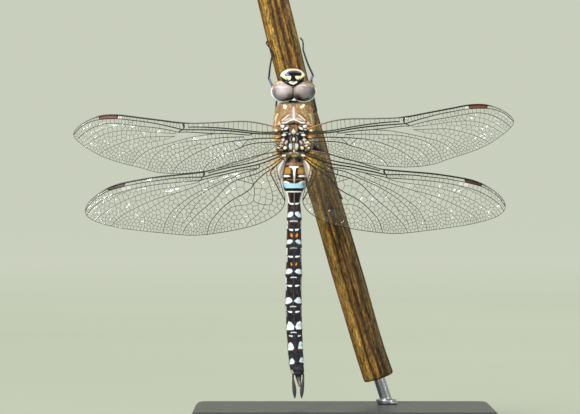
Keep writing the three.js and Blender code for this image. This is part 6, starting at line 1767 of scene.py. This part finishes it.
def leg_material():
    m = Mat("leg", Specular_IOR_Level=0.22)
    c = m.mix(m.range(m.noise(4200, 3), 0.3, 0.75), m.attr("Col"), m.mix(1.0, m.attr("Col"), (1.5, 1.5, 1.7), "MULTIPLY"))
    return m.out(Base_Color=c, Roughness=m.range(m.noise(7000, 2), 0.3, 0.7, 0.24, 0.42), Normal=m.bump(m.noise(12000, 2), 0.3, 0.00001), Coat_Weight=0.08, Coat_Roughness=0.2)


def build_legs():
    mat = leg_material()
    black, blue = lin((20, 18, 24)), lin((44, 44, 62))
    rng = np.random.default_rng(15)
    for name, (hip, knee, shin, foot) in LEGS.items():
        hip, knee, shin = np.array(hip), np.array(knee), np.array(shin)
        big = 1.12 if name.startswith("hind") else 1.0
        # thigh, with the coxa and trochanter at its root
        g = Many()
        d = (knee - hip) / np.linalg.norm(knee - hip)
        L = np.linalg.norm(knee - hip)
        v, f = lofted(tube([hip - d * 0.35, hip + d * 0.1, hip + d * 0.55], [0.34, 0.5, 0.3], 24, 0.07))
        g.add(v, f, lin((58, 44, 34)))
        v, f = lofted(tube([hip + d * 0.5, hip + d * 0.75, hip + d * 0.95], [0.26, 0.33, 0.25], 24, 0.06))
        g.add(v, f, lin((34, 27, 26)))
        bow = np.cross(d, [0, 1, 0]) * 0.06 * L
        pth = [hip + d * 0.85, hip + d * L * 0.45 + bow * 0.5, hip + d * L * 0.8 + bow * 0.3, knee - d * 0.2, knee]
        rings = tube(pth, [0.24 * big, 0.27 * big, 0.22 * big, 0.2 * big, 0.19], 24, 0.07)
        v, f = lofted(rings)
        nv = normals(v, f)
        # the lilac on the thighs' upper side is partly a pale bloom and partly a painted sheen; the front pair carry it
        # fully, the rest faintly
        back = (smooth(-0.45, -0.85, nv[:, 1] - 0.35 * nv[:, 2]) * (1.0 if name.startswith("front") else 0.25))[:, None]
        g.add(v, f, black * (1 - back) + lin((124, 118, 148)) * back * (0.9 + 0.1 * rng.random()))
        side = np.cross(d, [0.2, 0.9, 0.3])
        side /= np.linalg.norm(side)
        for s in (-1, 1):
            for k in np.linspace(0.35, 0.95, 9):
                b = hip + d * L * k + side * s * 0.17
                v, f = spike(b, b + side * s * 0.26 + d * 0.12, 0.028, 5)
                g.add(v, f, black)
        piece(g.done("thigh_" + name, mat), "leg_black", "femur_" + name)
        # shin, with two rows of spurs
        g = Many()
        d = (shin - knee) / np.linalg.norm(shin - knee)
        L = np.linalg.norm(shin - knee)
        bow = np.cross(d, [0, 1, 0]) * (0.05 if name.startswith("front") else 0.03) * L
        pth = [knee - d * 0.12, knee + d * 0.18, knee + d * 0.5, knee + d * L * 0.5 + bow * 0.4, shin - d * 0.25, shin]
        v, f = lofted(tube(pth, [0.17, 0.21, 0.18, 0.165, 0.155, 0.155], 20, 0.07))
        g.add(v, f, black * 0.8 + blue * 0.4)
        side = np.cross(d, [0, 1, 0])
        side /= np.linalg.norm(side)
        down = np.cross(d, side)
        if down[1] < 0:
            down = -down
        for s in (-1, 1):
            for k in np.linspace(0.14, 0.97, 12):
                ax = side * s * 0.8 + down * 0.6
                b = knee + d * L * k + bow * 0.4 * (1 - abs(2 * k - 1)) + ax * 0.09
                v, f = spike(b, b + ax * rng.uniform(0.36, 0.5) + d * 0.24, 0.026, 5)
                g.add(v, f, black)
        piece(g.done("shin_" + name, mat), "leg_black", "tibia_" + name)
        # foot of three joints with two claws
        g = Many()
        line = curve([shin] + [np.array(q) for q in foot], 0.05)
        seg = np.concatenate([[0], np.cumsum(np.linalg.norm(np.diff(line, axis=0), axis=1))])
        at = lambda s: np.array([np.interp(s * seg[-1], seg, line[:, k]) for k in range(3)])
        for a, b in ((0.0, 0.26), (0.28, 0.6), (0.62, 0.97)):
            q = [at(a), at((a + b) / 2), at(b)]
            v, f = lofted(tube(q, [0.12, 0.14, 0.15], 16, 0.07))
            g.add(v, f, black)
            for k in np.linspace(a + 0.08, b, 3):
                c = at(k)
                for s in (-1, 1):
                    v, f = spike(c, c + side * s * 0.2 + down * 0.12, 0.02, 4)
                    g.add(v, f, black)
        end, dd = at(0.97), at(1.0) - at(0.9)
        dd /= np.linalg.norm(dd)
        sd = np.cross(dd, [0, 1, 0])
        sd /= np.linalg.norm(sd)
        for s in (-1, 1):
            v, f = spike(end, end + dd * 0.42 + sd * s * 0.2, 0.05, 7, bend=np.array([0, 0.16, 0]) - dd * 0.05, rings=5)
            g.add(v, f, black)
        piece(g.done("foot_" + name, mat), "leg_black", "tarsus_" + name)


# ------------------------------------------------------------------ tail and membranules
def build_tail():
    m = Mat("clasper", Coat_Weight=0.25, Coat_Roughness=0.2)
    c = m.mix(m.range(m.noise(3600, 3), 0.3, 0.75), m.attr("Col"), m.mix(1.0, m.attr("Col"), (1.5, 1.4, 1.5), "MULTIPLY"))
    mat = m.out(Base_Color=c, Roughness=m.range(m.noise(6000, 2), 0.3, 0.7, 0.3, 0.5), Normal=m.bump(m.noise(11000, 2), 0.35, 0.00001))
    st = np.array([(10.6, 0.96, 0.17, 1.78, 0.22), (10.25, 0.99, 0.17, 1.76, 0.22), (9.65, 0.98, 0.18, 1.74, 0.24), (9.1, 0.93, 0.24, 1.72, 0.25), (8.4, 0.82, 0.33, 1.72, 0.24), (7.6, 0.73, 0.38, 1.74, 0.21),
                   (7.0, 0.69, 0.36, 1.78, 0.19), (6.4, 0.66, 0.25, 1.83, 0.17), (6.0, 0.64, 0.12, 1.88, 0.12), (5.84, 0.64, 0.04, 1.9, 0.04)])
    z = np.linspace(10.6, 5.84, 90)
    xo, hw, yc, ht = [np.interp(z, st[::-1, 0], st[::-1, k]) for k in (1, 2, 3, 4)]
    k = np.exp(-(np.arange(-4, 5) / 2.0) ** 2)
    k /= k.sum()
    xo, hw, yc, ht = [np.convolve(np.pad(q, 4, mode="edge"), k, "valid") for q in (xo, hw, yc, ht)]
    n = 40
    t = 2 * math.pi * (np.arange(n) + 0.5) / n
    for name, s in (("left", -1), ("right", 1)):
        x = 0.8 + s * xo[:, None] + hw[:, None] * np.cos(t)
        keel = 0.1 * bell(np.cos(t), 0.28) * smooth(10.0, 9.0, z)[:, None] * smooth(5.9, 7.0, z)[:, None]
        y = yc[:, None] + ht[:, None] * np.sin(t) * (1 - 0.3 * np.abs(np.cos(t))) - np.where(np.sin(t) < 0, keel, 0)
        rings = np.stack([x, y, np.repeat(z[:, None], n, 1)], 2)
        v, f = lofted(rings, True, True)
        # each clasper is paler along its top and bottom faces than at its sides: a painted highlight on the dark slate
        across = np.abs(np.broadcast_to(np.cos(t), x.shape)).ravel()
        col = lin((66, 60, 76)) * (1 - smooth(0.35, 0.8, across))[:, None] + lin((20, 18, 22)) * smooth(0.35, 0.8, across)[:, None]
        zz = np.repeat(z, n)
        col = col * (1 - smooth(9.6, 10.2, zz))[:, None] + lin((28, 24, 26)) * smooth(9.6, 10.2, zz)[:, None]
        piece(make("clasper_" + name, v, f, mat, col=np.vstack([col, col[0], col[-1]])), "clasper", "cercus_" + name)
    # the lower one, a triangle with a pinkish middle
    z = np.linspace(10.6, 7.95, 50)
    w = np.interp(z, [7.95, 8.15, 8.8, 10.3, 10.6], [0.05, 0.16, 0.33, 0.64, 0.66])
    x = np.interp(z, [7.95, 10.2], [1.1, 0.82])[:, None] + w[:, None] * np.sign(np.cos(t)) * np.abs(np.cos(t)) ** 0.8
    y = 2.45 + np.interp(z, [7.95, 8.3, 10.6], [0.08, 0.2, 0.24])[:, None] * np.sin(t) * (1 - 0.25 * np.abs(np.cos(t))) + 0.09 * bell(np.cos(t), 0.4) * (np.sin(t) < 0)
    v, f = lofted(np.stack([x, y, np.repeat(z[:, None], n, 1)], 2), True, True)
    across = np.abs(np.broadcast_to(np.cos(t), x.shape)).ravel()
    edge = smooth(0.25, 0.62, across)[:, None]
    col = lin((138, 116, 112)) * (1 - edge) + lin((22, 18, 20)) * edge
    piece(make("clasper_lower", v, f, mat, col=np.vstack([col, col[0], col[-1]])), "clasper", "epiproct")


def build_membranules():
    """The pale flap at the root of each hind wing."""
    outer = curve([(285.2, 157.8), (281.9, 161.2), (278.6, 165.6), (276.6, 170.8), (277.0, 175), (278.6, 179.3), (280.1, 182)], 0.6)
    inner = curve([(285.4, 158.4), (285.2, 162), (284.7, 166), (284.0, 170.5), (282.8, 175), (281.4, 178.6), (280.3, 181.5)], 0.6)
    rows, n = 46, 16
    q = np.linspace(0, 1, rows)
    pick = lambda c: np.stack([np.interp(q, np.linspace(0, 1, len(c)), c[:, k]) for k in (0, 1)], 1)
    o, i = pick(outer), pick(inner)
    m = Mat("membranule")
    tone = m.mix(m.range(m.noise(1800, 3, 0.6), 0.3, 0.7), m.attr("Col"), m.mix(1.0, m.attr("Col"), (0.82, 0.8, 0.84), "MULTIPLY"))
    mat = m.out(Base_Color=tone, Roughness=m.range(m.noise(3000, 2), 0.3, 0.7, 0.45, 0.6), Normal=m.bump(m.noise(2600, 3), 0.3, 0.00002))
    for name, s in (("left", -1), ("right", 1)):
        rings = []
        for k in range(rows):
            t = np.linspace(0, 1, n)
            p = o[k] * (1 - t)[:, None] + i[k] * t[:, None]
            x = np.abs(X(p[:, 0])) + (0.0 if s < 0 else 0.02)
            z = Z(p[:, 1]) - (0.0 if s < 0 else -0.1)
            fold = 0.05 * np.sin(t * 7 + q[k] * 5) * smooth(0, 0.2, t) * smooth(1, 0.8, t)
            y = 0.64 + 0.3 * t + 0.1 * q[k] + fold
            thick = 0.045 * (0.3 + 0.7 * np.sin(np.pi * t)) + 0.01
            a = np.stack([s * x, y - thick, z], 1)
            b = np.stack([s * x, y + thick, z], 1)[::-1]
            rings.append(np.vstack([a, b]))
        v, f = lofted(np.array(rings), True, s < 0)
        if normals(v, f)[n * 20 + n // 2, 1] > 0:
            f = [h[::-1] for h in f]
        t2 = np.tile(np.concatenate([np.linspace(0, 1, n), np.linspace(1, 0, n)]), rows)
        e = smooth(0.75, 1.0, t2)[:, None]
        e0 = smooth(0.14, 0.0, t2)[:, None]
        mid_ = smooth(0.2, 0.6, t2)[:, None]
        col = lin((232, 226, 222)) * (1 - mid_) + lin((166, 156, 152)) * mid_
        col = col * (1 - e) + lin((108, 82, 60)) * e
        col = col * (1 - e0) + lin((112, 100, 104)) * e0
        piece(make("membranule_" + name, v, f, mat, col=np.vstack([col, col[0], col[-1]])), "wing")


# ------------------------------------------------------------------ perch and stand
STEM = [(-4.3, 83.4), (-0.35, 67.4), (3.7, 52.5), (7.8, 38.0), (11.7, 24.7), (14.5, 15.2), (16.5, 9.2)]


def stem_y(z):
    return 12.6 + (60 - z) * 0.07


def build_stem():
    p = [np.array([x, stem_y(z), z]) for x, z in STEM]
    c = curve(p, 0.2)
    d = np.gradient(c, axis=0)
    d /= np.linalg.norm(d, axis=1)[:, None]
    n = 288
    t = 2 * math.pi * np.arange(n) / n
    s = np.concatenate([[0], np.cumsum(np.linalg.norm(np.diff(c, axis=0), axis=1))])
    ux = np.array([1.0, 0, 0])
    rings = []
    rng = np.random.default_rng(4)
    frames = []
    for i in range(len(c)):
        uu = ux - d[i] * ux.dot(d[i])
        uu /= np.linalg.norm(uu)
        frames.append((uu, np.cross(d[i], uu)))
    # t is pi at the left edge, pi / 2 in front and 0 at the right edge
    TT, SS = np.broadcast_to(t, (len(c), n)), np.repeat(s[:, None], n, 1)
    P3 = np.stack([np.cos(TT) * 3, np.sin(TT) * 3, SS * 0.16], 2).reshape(-1, 3)
    run = lambda k, seed: noise3(P3 * k, 1.0, seed).reshape(TT.shape)
    groove = np.zeros((len(c), n))
    for t0, w, deep in ((1.81, 0.075, 1.15), (1.41, 0.085, 0.95), (0.93, 0.08, 0.6), (1.12, 0.04, 0.35), (2.45, 0.035, 0.45), (2.86, 0.05, 0.6), (0.3, 0.07, 0.8), (3.5, 0.06, 0.8), (3.95, 0.05, 0.9), (4.35, 0.07, 0.7),
                        (4.8, 0.05, 1.0), (5.2, 0.06, 0.8), (5.6, 0.05, 0.9), (5.98, 0.06, 0.7)):
        a, b = rng.uniform(0, 6.28, 2)
        mid = t0 + 0.035 * np.sin(SS * 0.13 + a) + 0.02 * np.sin(SS * 0.41 + b)
        away = np.abs((TT - mid + math.pi) % (2 * math.pi) - math.pi)
        keep = deep * (0.78 + 0.35 * np.sin(SS * 0.19 + b) * np.sin(SS * 0.07 + a))
        groove = np.maximum(groove, np.clip(keep, 0, 1) * np.exp(-((away / w) ** 2)))
    fibre = np.zeros((len(c), n))
    for m_, amp, seed in ((31, 0.5, 1), (53, 0.4, 2), (89, 0.3, 3)):
        a, b = rng.uniform(0, 6.28, 2)
        fibre += amp * np.sin(m_ * TT + a + 0.9 * np.sin(SS * 0.12 * seed + b))
    fibre *= 0.6 + 0.6 * run(0.5, 61)
    R = 2.94 + 0.05 * np.sin(SS * 0.25) + 0.05 * np.sin(3 * TT + 0.04 * SS) - 0.17 * groove + 0.02 * fibre + 0.02 * run(1.2, 62)
    # rounded-over cut ends
    ease = np.minimum(s, s[-1] - s)
    R -= 0.16 * (1 - smooth(0, 0.35, ease))[:, None]
    for i in range(len(c)):
        uu, w = frames[i]
        rings.append(c[i] + R[i][:, None] * (np.cos(t)[:, None] * uu + np.sin(t)[:, None] * w))
    rings = np.array(rings)
    # cut faces: pith inside a rind
    def cap(k, out):
        i = 0 if k == 0 else -1
        uu, w = frames[i]
        rr = []
        for f_, dep in ((0.93, 0.0), (0.86, 0.02), (0.8, 0.03), (0.5, -0.1), (0.2, -0.16), (0.03, -0.18)):
            rr.append(c[i] + out * d[i] * dep + (R[i] * f_)[:, None] * (np.cos(t)[:, None] * uu + np.sin(t)[:, None] * w))
        return rr
    front, back = cap(0, -1), cap(-1, 1)
    allr = np.array(front[::-1] + list(rings) + back)
    v, f = lofted(allr, True, False)
    nn = normals(v, f)
    mid = len(front) + len(rings) // 2
    q = v[mid * n] - c[len(rings) // 2]
    if nn[mid * n].dot(q) < 0:
        f = [h[::-1] for h in f]
    rows = len(allr)
    dark = lin((26, 18, 12))
    G = np.vstack([np.zeros((len(front), n)), groove, np.zeros((len(back), n))])
    T = np.broadcast_to(t, G.shape)
    S = np.repeat(np.concatenate([np.zeros(len(front)), s, np.full(len(back), s[-1])])[:, None], n, 1)
    # across the front from left to right: a dark edge, gold, a dark groove, tan, brown, a nearly black zone, grey and a
    # dark edge. The dark edges at both outlines are painted shade and the gold of the left side is partly a painted lit
    # side, keyed to the angle as seen from the front
    pad = lambda q: np.vstack([np.repeat(q[:1], len(front), 0), q, np.repeat(q[-1:], len(back), 0)])
    across = [(0.0, (104, 62, 26)), (0.05, (126, 86, 40)), (0.12, (152, 113, 48)), (0.2, (160, 125, 58)), (0.28, (160, 127, 60)), (0.34, (122, 89, 44)), (0.43, (142, 105, 52)), (0.49, (146, 106, 50)), (0.54, (108, 76, 36)),
              (0.64, (98, 70, 32)), (0.69, (128, 94, 46)), (0.74, (114, 81, 37)), (0.8, (92, 68, 32)), (0.85, (96, 72, 35)), (0.9, (130, 101, 57)), (0.95, (132, 102, 58)), (1.0, (64, 40, 22))]
    at = (1 + np.cos(T + 0.05 * pad(run(0.25, 63)))) / 2
    lower = (smooth(20, 45, S) * smooth(0.26, 0.38, at))[..., None]
    rear = np.sin(T) < 0
    at = np.where(rear, 0.12 + 0.72 * at, at)
    key = np.array([k for k, _ in across])
    tones = np.array([lin(q) for _, q in across])
    col = np.stack([np.interp(at, key, tones[:, k]) for k in range(3)], 2)
    soft = smooth(0.35, 0.0, np.abs(np.sin(T)))[..., None] * rear[..., None]
    col = col * (1 - soft) + lin((126, 88, 50)) * soft
    col = col * (1 - 0.33 * lower)
    speck = pad(noise3(P3 * [4.6, 4.6, 8.5], 1.0, 67).reshape(TT.shape))
    blotch, grit, grain = pad(run(0.8, 64)), pad(run(3.2, 65)), pad(noise3(P3 * [3.4, 3.4, 1.1], 1.0, 66).reshape(TT.shape))
    dim = smooth(0.55, 0.72, at) * smooth(0.86, 0.8, at)
    k = np.clip(smooth(0.0, 0.5, grain + 0.4 * blotch) * (0.35 + 0.65 * dim), 0, 1)[..., None]
    col = col * (1 - 0.6 * k) + lin((40, 29, 16)) * 0.6 * k
    k = (smooth(0.25, 0.7, -grain + 0.3 * grit) * 0.55)[..., None]
    col = col * (1 - k) + lin((190, 136, 62)) * k
    col = col * np.clip(1 + 0.3 * grit + 0.75 * speck + 0.12 * pad(fibre), 0.25, 1.9)[..., None]
    gg = G[..., None]
    col = col * (1 - 0.92 * gg) + dark * 0.92 * gg
    endm = np.zeros(G.shape)
    endm[: len(front)] = 1
    endm[-len(back):] = 1
    col = col * (1 - endm[..., None]) + lin((206, 186, 146)) * endm[..., None]
    m = Mat("stem_bark", Specular_IOR_Level=0.22)
    long = m.pos((1.0, 1.0, 0.09))
    streak = m.range(m.noise(4200, 4, 0.7, vec=long), 0.3, 0.72, 0.6, 1.36)
    blot = m.range(m.noise(420, 3, 0.6), 0.35, 0.7, 0.85, 1.12)
    speckle = m.range(m.noise(3400, 3, 0.7, vec=m.pos((1.0, 1.0, 0.4))), 0.34, 0.66, 0.58, 1.5)
    tone = m.math("MULTIPLY", m.math("MULTIPLY", streak, blot), speckle)
    cc = m.mix(1.0, m.attr("Col"), m.node("CombineColor", {0: tone, 1: tone, 2: tone}).outputs[0], "MULTIPLY")
    spots = m.range(m.cells(900, out="Distance"), 0.06, 0.12)
    cc = m.mix(spots, lin((40, 28, 20)), cc)
    h = m.math("ADD", m.noise(3600, 4, 0.65, vec=long), m.math("MULTIPLY", m.noise(9000, 2, vec=long), 0.5))
    mat = m.out(Base_Color=cc, Roughness=m.range(m.noise(2600, 2), 0.3, 0.7, 0.42, 0.66), Normal=m.bump(h, 0.7, 0.00006))
    colf = col.reshape(-1, 3)
    piece(make("stem", v, f, mat, col=np.vstack([colf, lin((168, 142, 100)), lin((168, 142, 100))])), "stem", "perch_stem")


def build_stand():
    # base: a slab with rounded corners, a wide chamfer and a shadow line above the table
    lo, hi = np.array(BASE_LO) * 1000 - OFFSET, np.array(BASE_HI) * 1000 - OFFSET
    cx, cy, hx, hy = (lo[0] + hi[0]) / 2, (lo[1] + hi[1]) / 2, (hi[0] - lo[0]) / 2, (hi[1] - lo[1]) / 2
    top = hi[2]
    prof = [(2.4, 0.0), (1.6, 0.0), (1.45, 0.05), (1.4, 0.2), (1.4, 0.42), (1.3, 0.5), (0.3, 0.5), (0.1, 0.58), (0.0, 0.78), (0.0, 1.6), (0.0, top - 0.95), (0.06, top - 0.72), (0.2, top - 0.5), (0.5, top - 0.2), (0.72, top - 0.06),
            (0.95, top), (1.6, top), (4.0, top), (9.0, top)]
    rings = []
    for inset, z in prof:
        r = max(3.0 - inset, 0.4)
        pts = []
        for k, (sx, sy) in enumerate(((1, 1), (-1, 1), (-1, -1), (1, -1))):
            a = np.linspace(k * math.pi / 2, (k + 1) * math.pi / 2, 14)
            pts += [(cx + sx * (hx - inset - r) + r * math.cos(b), cy + sy * (hy - inset - r) + r * math.sin(b), z) for b in a]
        rings.append(pts)
    v, f = lofted(np.array(rings), True, False)
    if normals(v, f)[10 * 56, 0] * (v[10 * 56, 0] - cx) < 0:
        f = [h[::-1] for h in f]
    m = Mat("stand_paint", Coat_Weight=0.15, Coat_Roughness=0.3)
    c = m.mix(m.range(m.noise(900, 4, 0.7), 0.3, 0.7), lin((50, 50, 53)), lin((62, 62, 65)))
    h = m.math("ADD", m.cells(5200), m.math("MULTIPLY", m.noise(3000, 2), 0.6))
    mat = m.out(Base_Color=c, Roughness=m.range(m.noise(2400, 2), 0.3, 0.7, 0.42, 0.56), Normal=m.bump(h, 0.35, 0.00005))
    ob = make("stand_slab", v, f, mat)
    bpy.context.view_layer.objects.active = ob
    piece(ob, "stand_base", "stand_base")
    # rod: brushed steel with a turned collar at its foot
    a, b = np.array([STEM[-2][0], stem_y(STEM[-2][1]), STEM[-2][1]]), np.array([STEM[-1][0], stem_y(STEM[-1][1]), STEM[-1][1]])
    d = (b - a) / (b - a)[2]
    at = lambda z: a + d * (z - a[2])
    prof = [(0.05, 3.99), (1.2, 3.99), (1.55, 4.0), (1.9, 4.02), (1.98, 4.1), (2.0, 4.25), (2.0, 4.8), (1.94, 4.92), (1.82, 4.98), (1.3, 5.0), (1.2, 5.02), (1.17, 5.1), (1.16, 5.4)]
    prof += [(1.16, z) for z in np.linspace(5.8, 15.6, 30)] + [(1.13, 15.8), (1.0, 15.95), (0.6, 16.0)]
    n = 72
    t = 2 * math.pi * np.arange(n) / n
    rings = []
    for r, z in prof:
        c = at(z)
        rings.append(np.stack([c[0] + r * np.cos(t), c[1] + r * np.sin(t), np.full(n, z)], 1))
    v, f = lofted(np.array(rings), True, False)
    if normals(v, f)[20 * n, 0] < 0:
        f = [h[::-1] for h in f]
    m = Mat("stand_steel", Metallic=1.0)
    br = m.noise(5200, 3, vec=m.pos((0.3, 0.3, 3.0)))
    mat = m.out(Base_Color=m.mix(m.range(br, 0.3, 0.7), lin((150, 152, 156)), lin((184, 186, 190))), Roughness=m.range(br, 0.3, 0.7, 0.24, 0.4), Normal=m.bump(br, 0.2, 0.00002))
    piece(make("stand_pin", v, f, mat), "stand_rod", "stand_rod")


def build_rest():
    build_legs()
    build_tail()
    build_membranules()
    build_stem()
    build_stand()


# ------------------------------------------------------------------ stage, light and camera
def stage_material():
    """Pale and matt. Its far parts and walls glow as brightly as the floor is lit, so that every side has the same backdrop."""
    m = Mat("pale_stage", Roughness=0.9, Specular_IOR_Level=0.1)
    g = m.attr("Glow", True)
    c = m.mix(m.range(m.noise(2.2, 3), 0.3, 0.7), lin((176, 181, 164)), lin((182, 187, 170)))
    c = m.mix(g, c, lin((60, 62, 56)))
    return m.out(Base_Color=c, Emission_Color=(*lin((196, 202, 184)), 1.0), Emission_Strength=m.math("MULTIPLY", g, 0.93))


def build_stage():
    prof = [(r, 0.0) for r in (0.02, 0.3, 0.5, 0.7, 0.9, 1.1, 1.3, 1.5, 1.7, 1.9, 2.1, 2.5)]
    prof += [(2.5 + 1.5 * math.sin(t), 1.5 - 1.5 * math.cos(t)) for t in np.linspace(0, math.pi / 2, 16)[1:]] + [(4.0, 3.4)]
    t = np.linspace(0, 2 * math.pi, 96, endpoint=False)
    rings = np.array([np.stack([r * np.cos(t), r * np.sin(t), z + 0 * t], 1) for r, z in prof])
    v = rings.reshape(-1, 3)
    f = grid_faces(len(prof), 96).tolist() + [(len(v), i, (i + 1) % 96) for i in range(96)]
    glow = np.append(smooth(0.5, 2.1, np.repeat([r for r, z in prof], 96)), 0)
    ob = make("stage_floor", np.vstack([v, [0, 0, 0]]) / MM - OFFSET, f, stage_material(), attrs={"Glow": glow})


def area(name, at, to, size, watts, col=(1, 1, 1), shadow=True):
    d = bpy.data.lights.new(name, "AREA")
    d.shape, d.size, d.energy, d.color = "DISK", size, watts, col
    d.use_shadow = shadow
    o = bpy.data.objects.new(name, d)
    o.location = at
    o.rotation_euler = (Vector(to) - Vector(at)).to_track_quat("-Z", "Y").to_euler()
    o.visible_camera = False
    bpy.context.scene.collection.objects.link(o)
    return o


def build_light():
    to = Vector((OFFSET[0] * MM, OFFSET[1] * MM, 0.05))
    d = bpy.data.lights.new("sun", "SUN")
    d.energy, d.angle, d.color = 3.0, math.radians(20), (1.0, 0.985, 0.96)
    o = bpy.data.objects.new("sun", d)
    o.rotation_euler = Vector((0.42, 0.62, -0.78)).to_track_quat("-Z", "Y").to_euler()
    bpy.context.scene.collection.objects.link(o)
    area("key", to + Vector((-0.45, -0.75, 0.6)), to, 0.25, 2.6, (1.0, 0.99, 0.97))
    area("side", to + Vector((0.8, -0.5, 0.3)), to, 0.3, 1.6, (0.93, 0.97, 1.0))
    area("glint", to + Vector((-0.26, -0.93, 0.3)), to, 0.15, 0.95, (1.0, 1.0, 1.0))
    w = bpy.context.scene.world or bpy.data.worlds.new("world")
    bpy.context.scene.world = w
    w.use_nodes = True
    bg = w.node_tree.nodes.get("Background")
    bg.inputs["Color"].default_value = (0.9, 0.95, 1.0, 1)
    bg.inputs["Strength"].default_value = 0.5


def build_camera():
    d = bpy.data.cameras.new("camera")
    d.sensor_width, d.lens = 36.0, 228.7
    d.clip_start, d.clip_end = 0.01, 50.0
    o = bpy.data.objects.new("camera", d)
    o.location = ((OFFSET[0] - 0.76) * MM, (OFFSET[1] - 700.0) * MM, 0.04233)
    o.rotation_euler = (math.radians(90), 0, 0)
    bpy.context.scene.collection.objects.link(o)
    bpy.context.scene.camera = o


def main():
    build_camera()
    build_stage()
    build_light()
    bpy.context.scene.view_settings.view_transform = "Standard"
    build_wings()
    build_body()
    build_rest()


main()
bpy.context.view_layer.update()
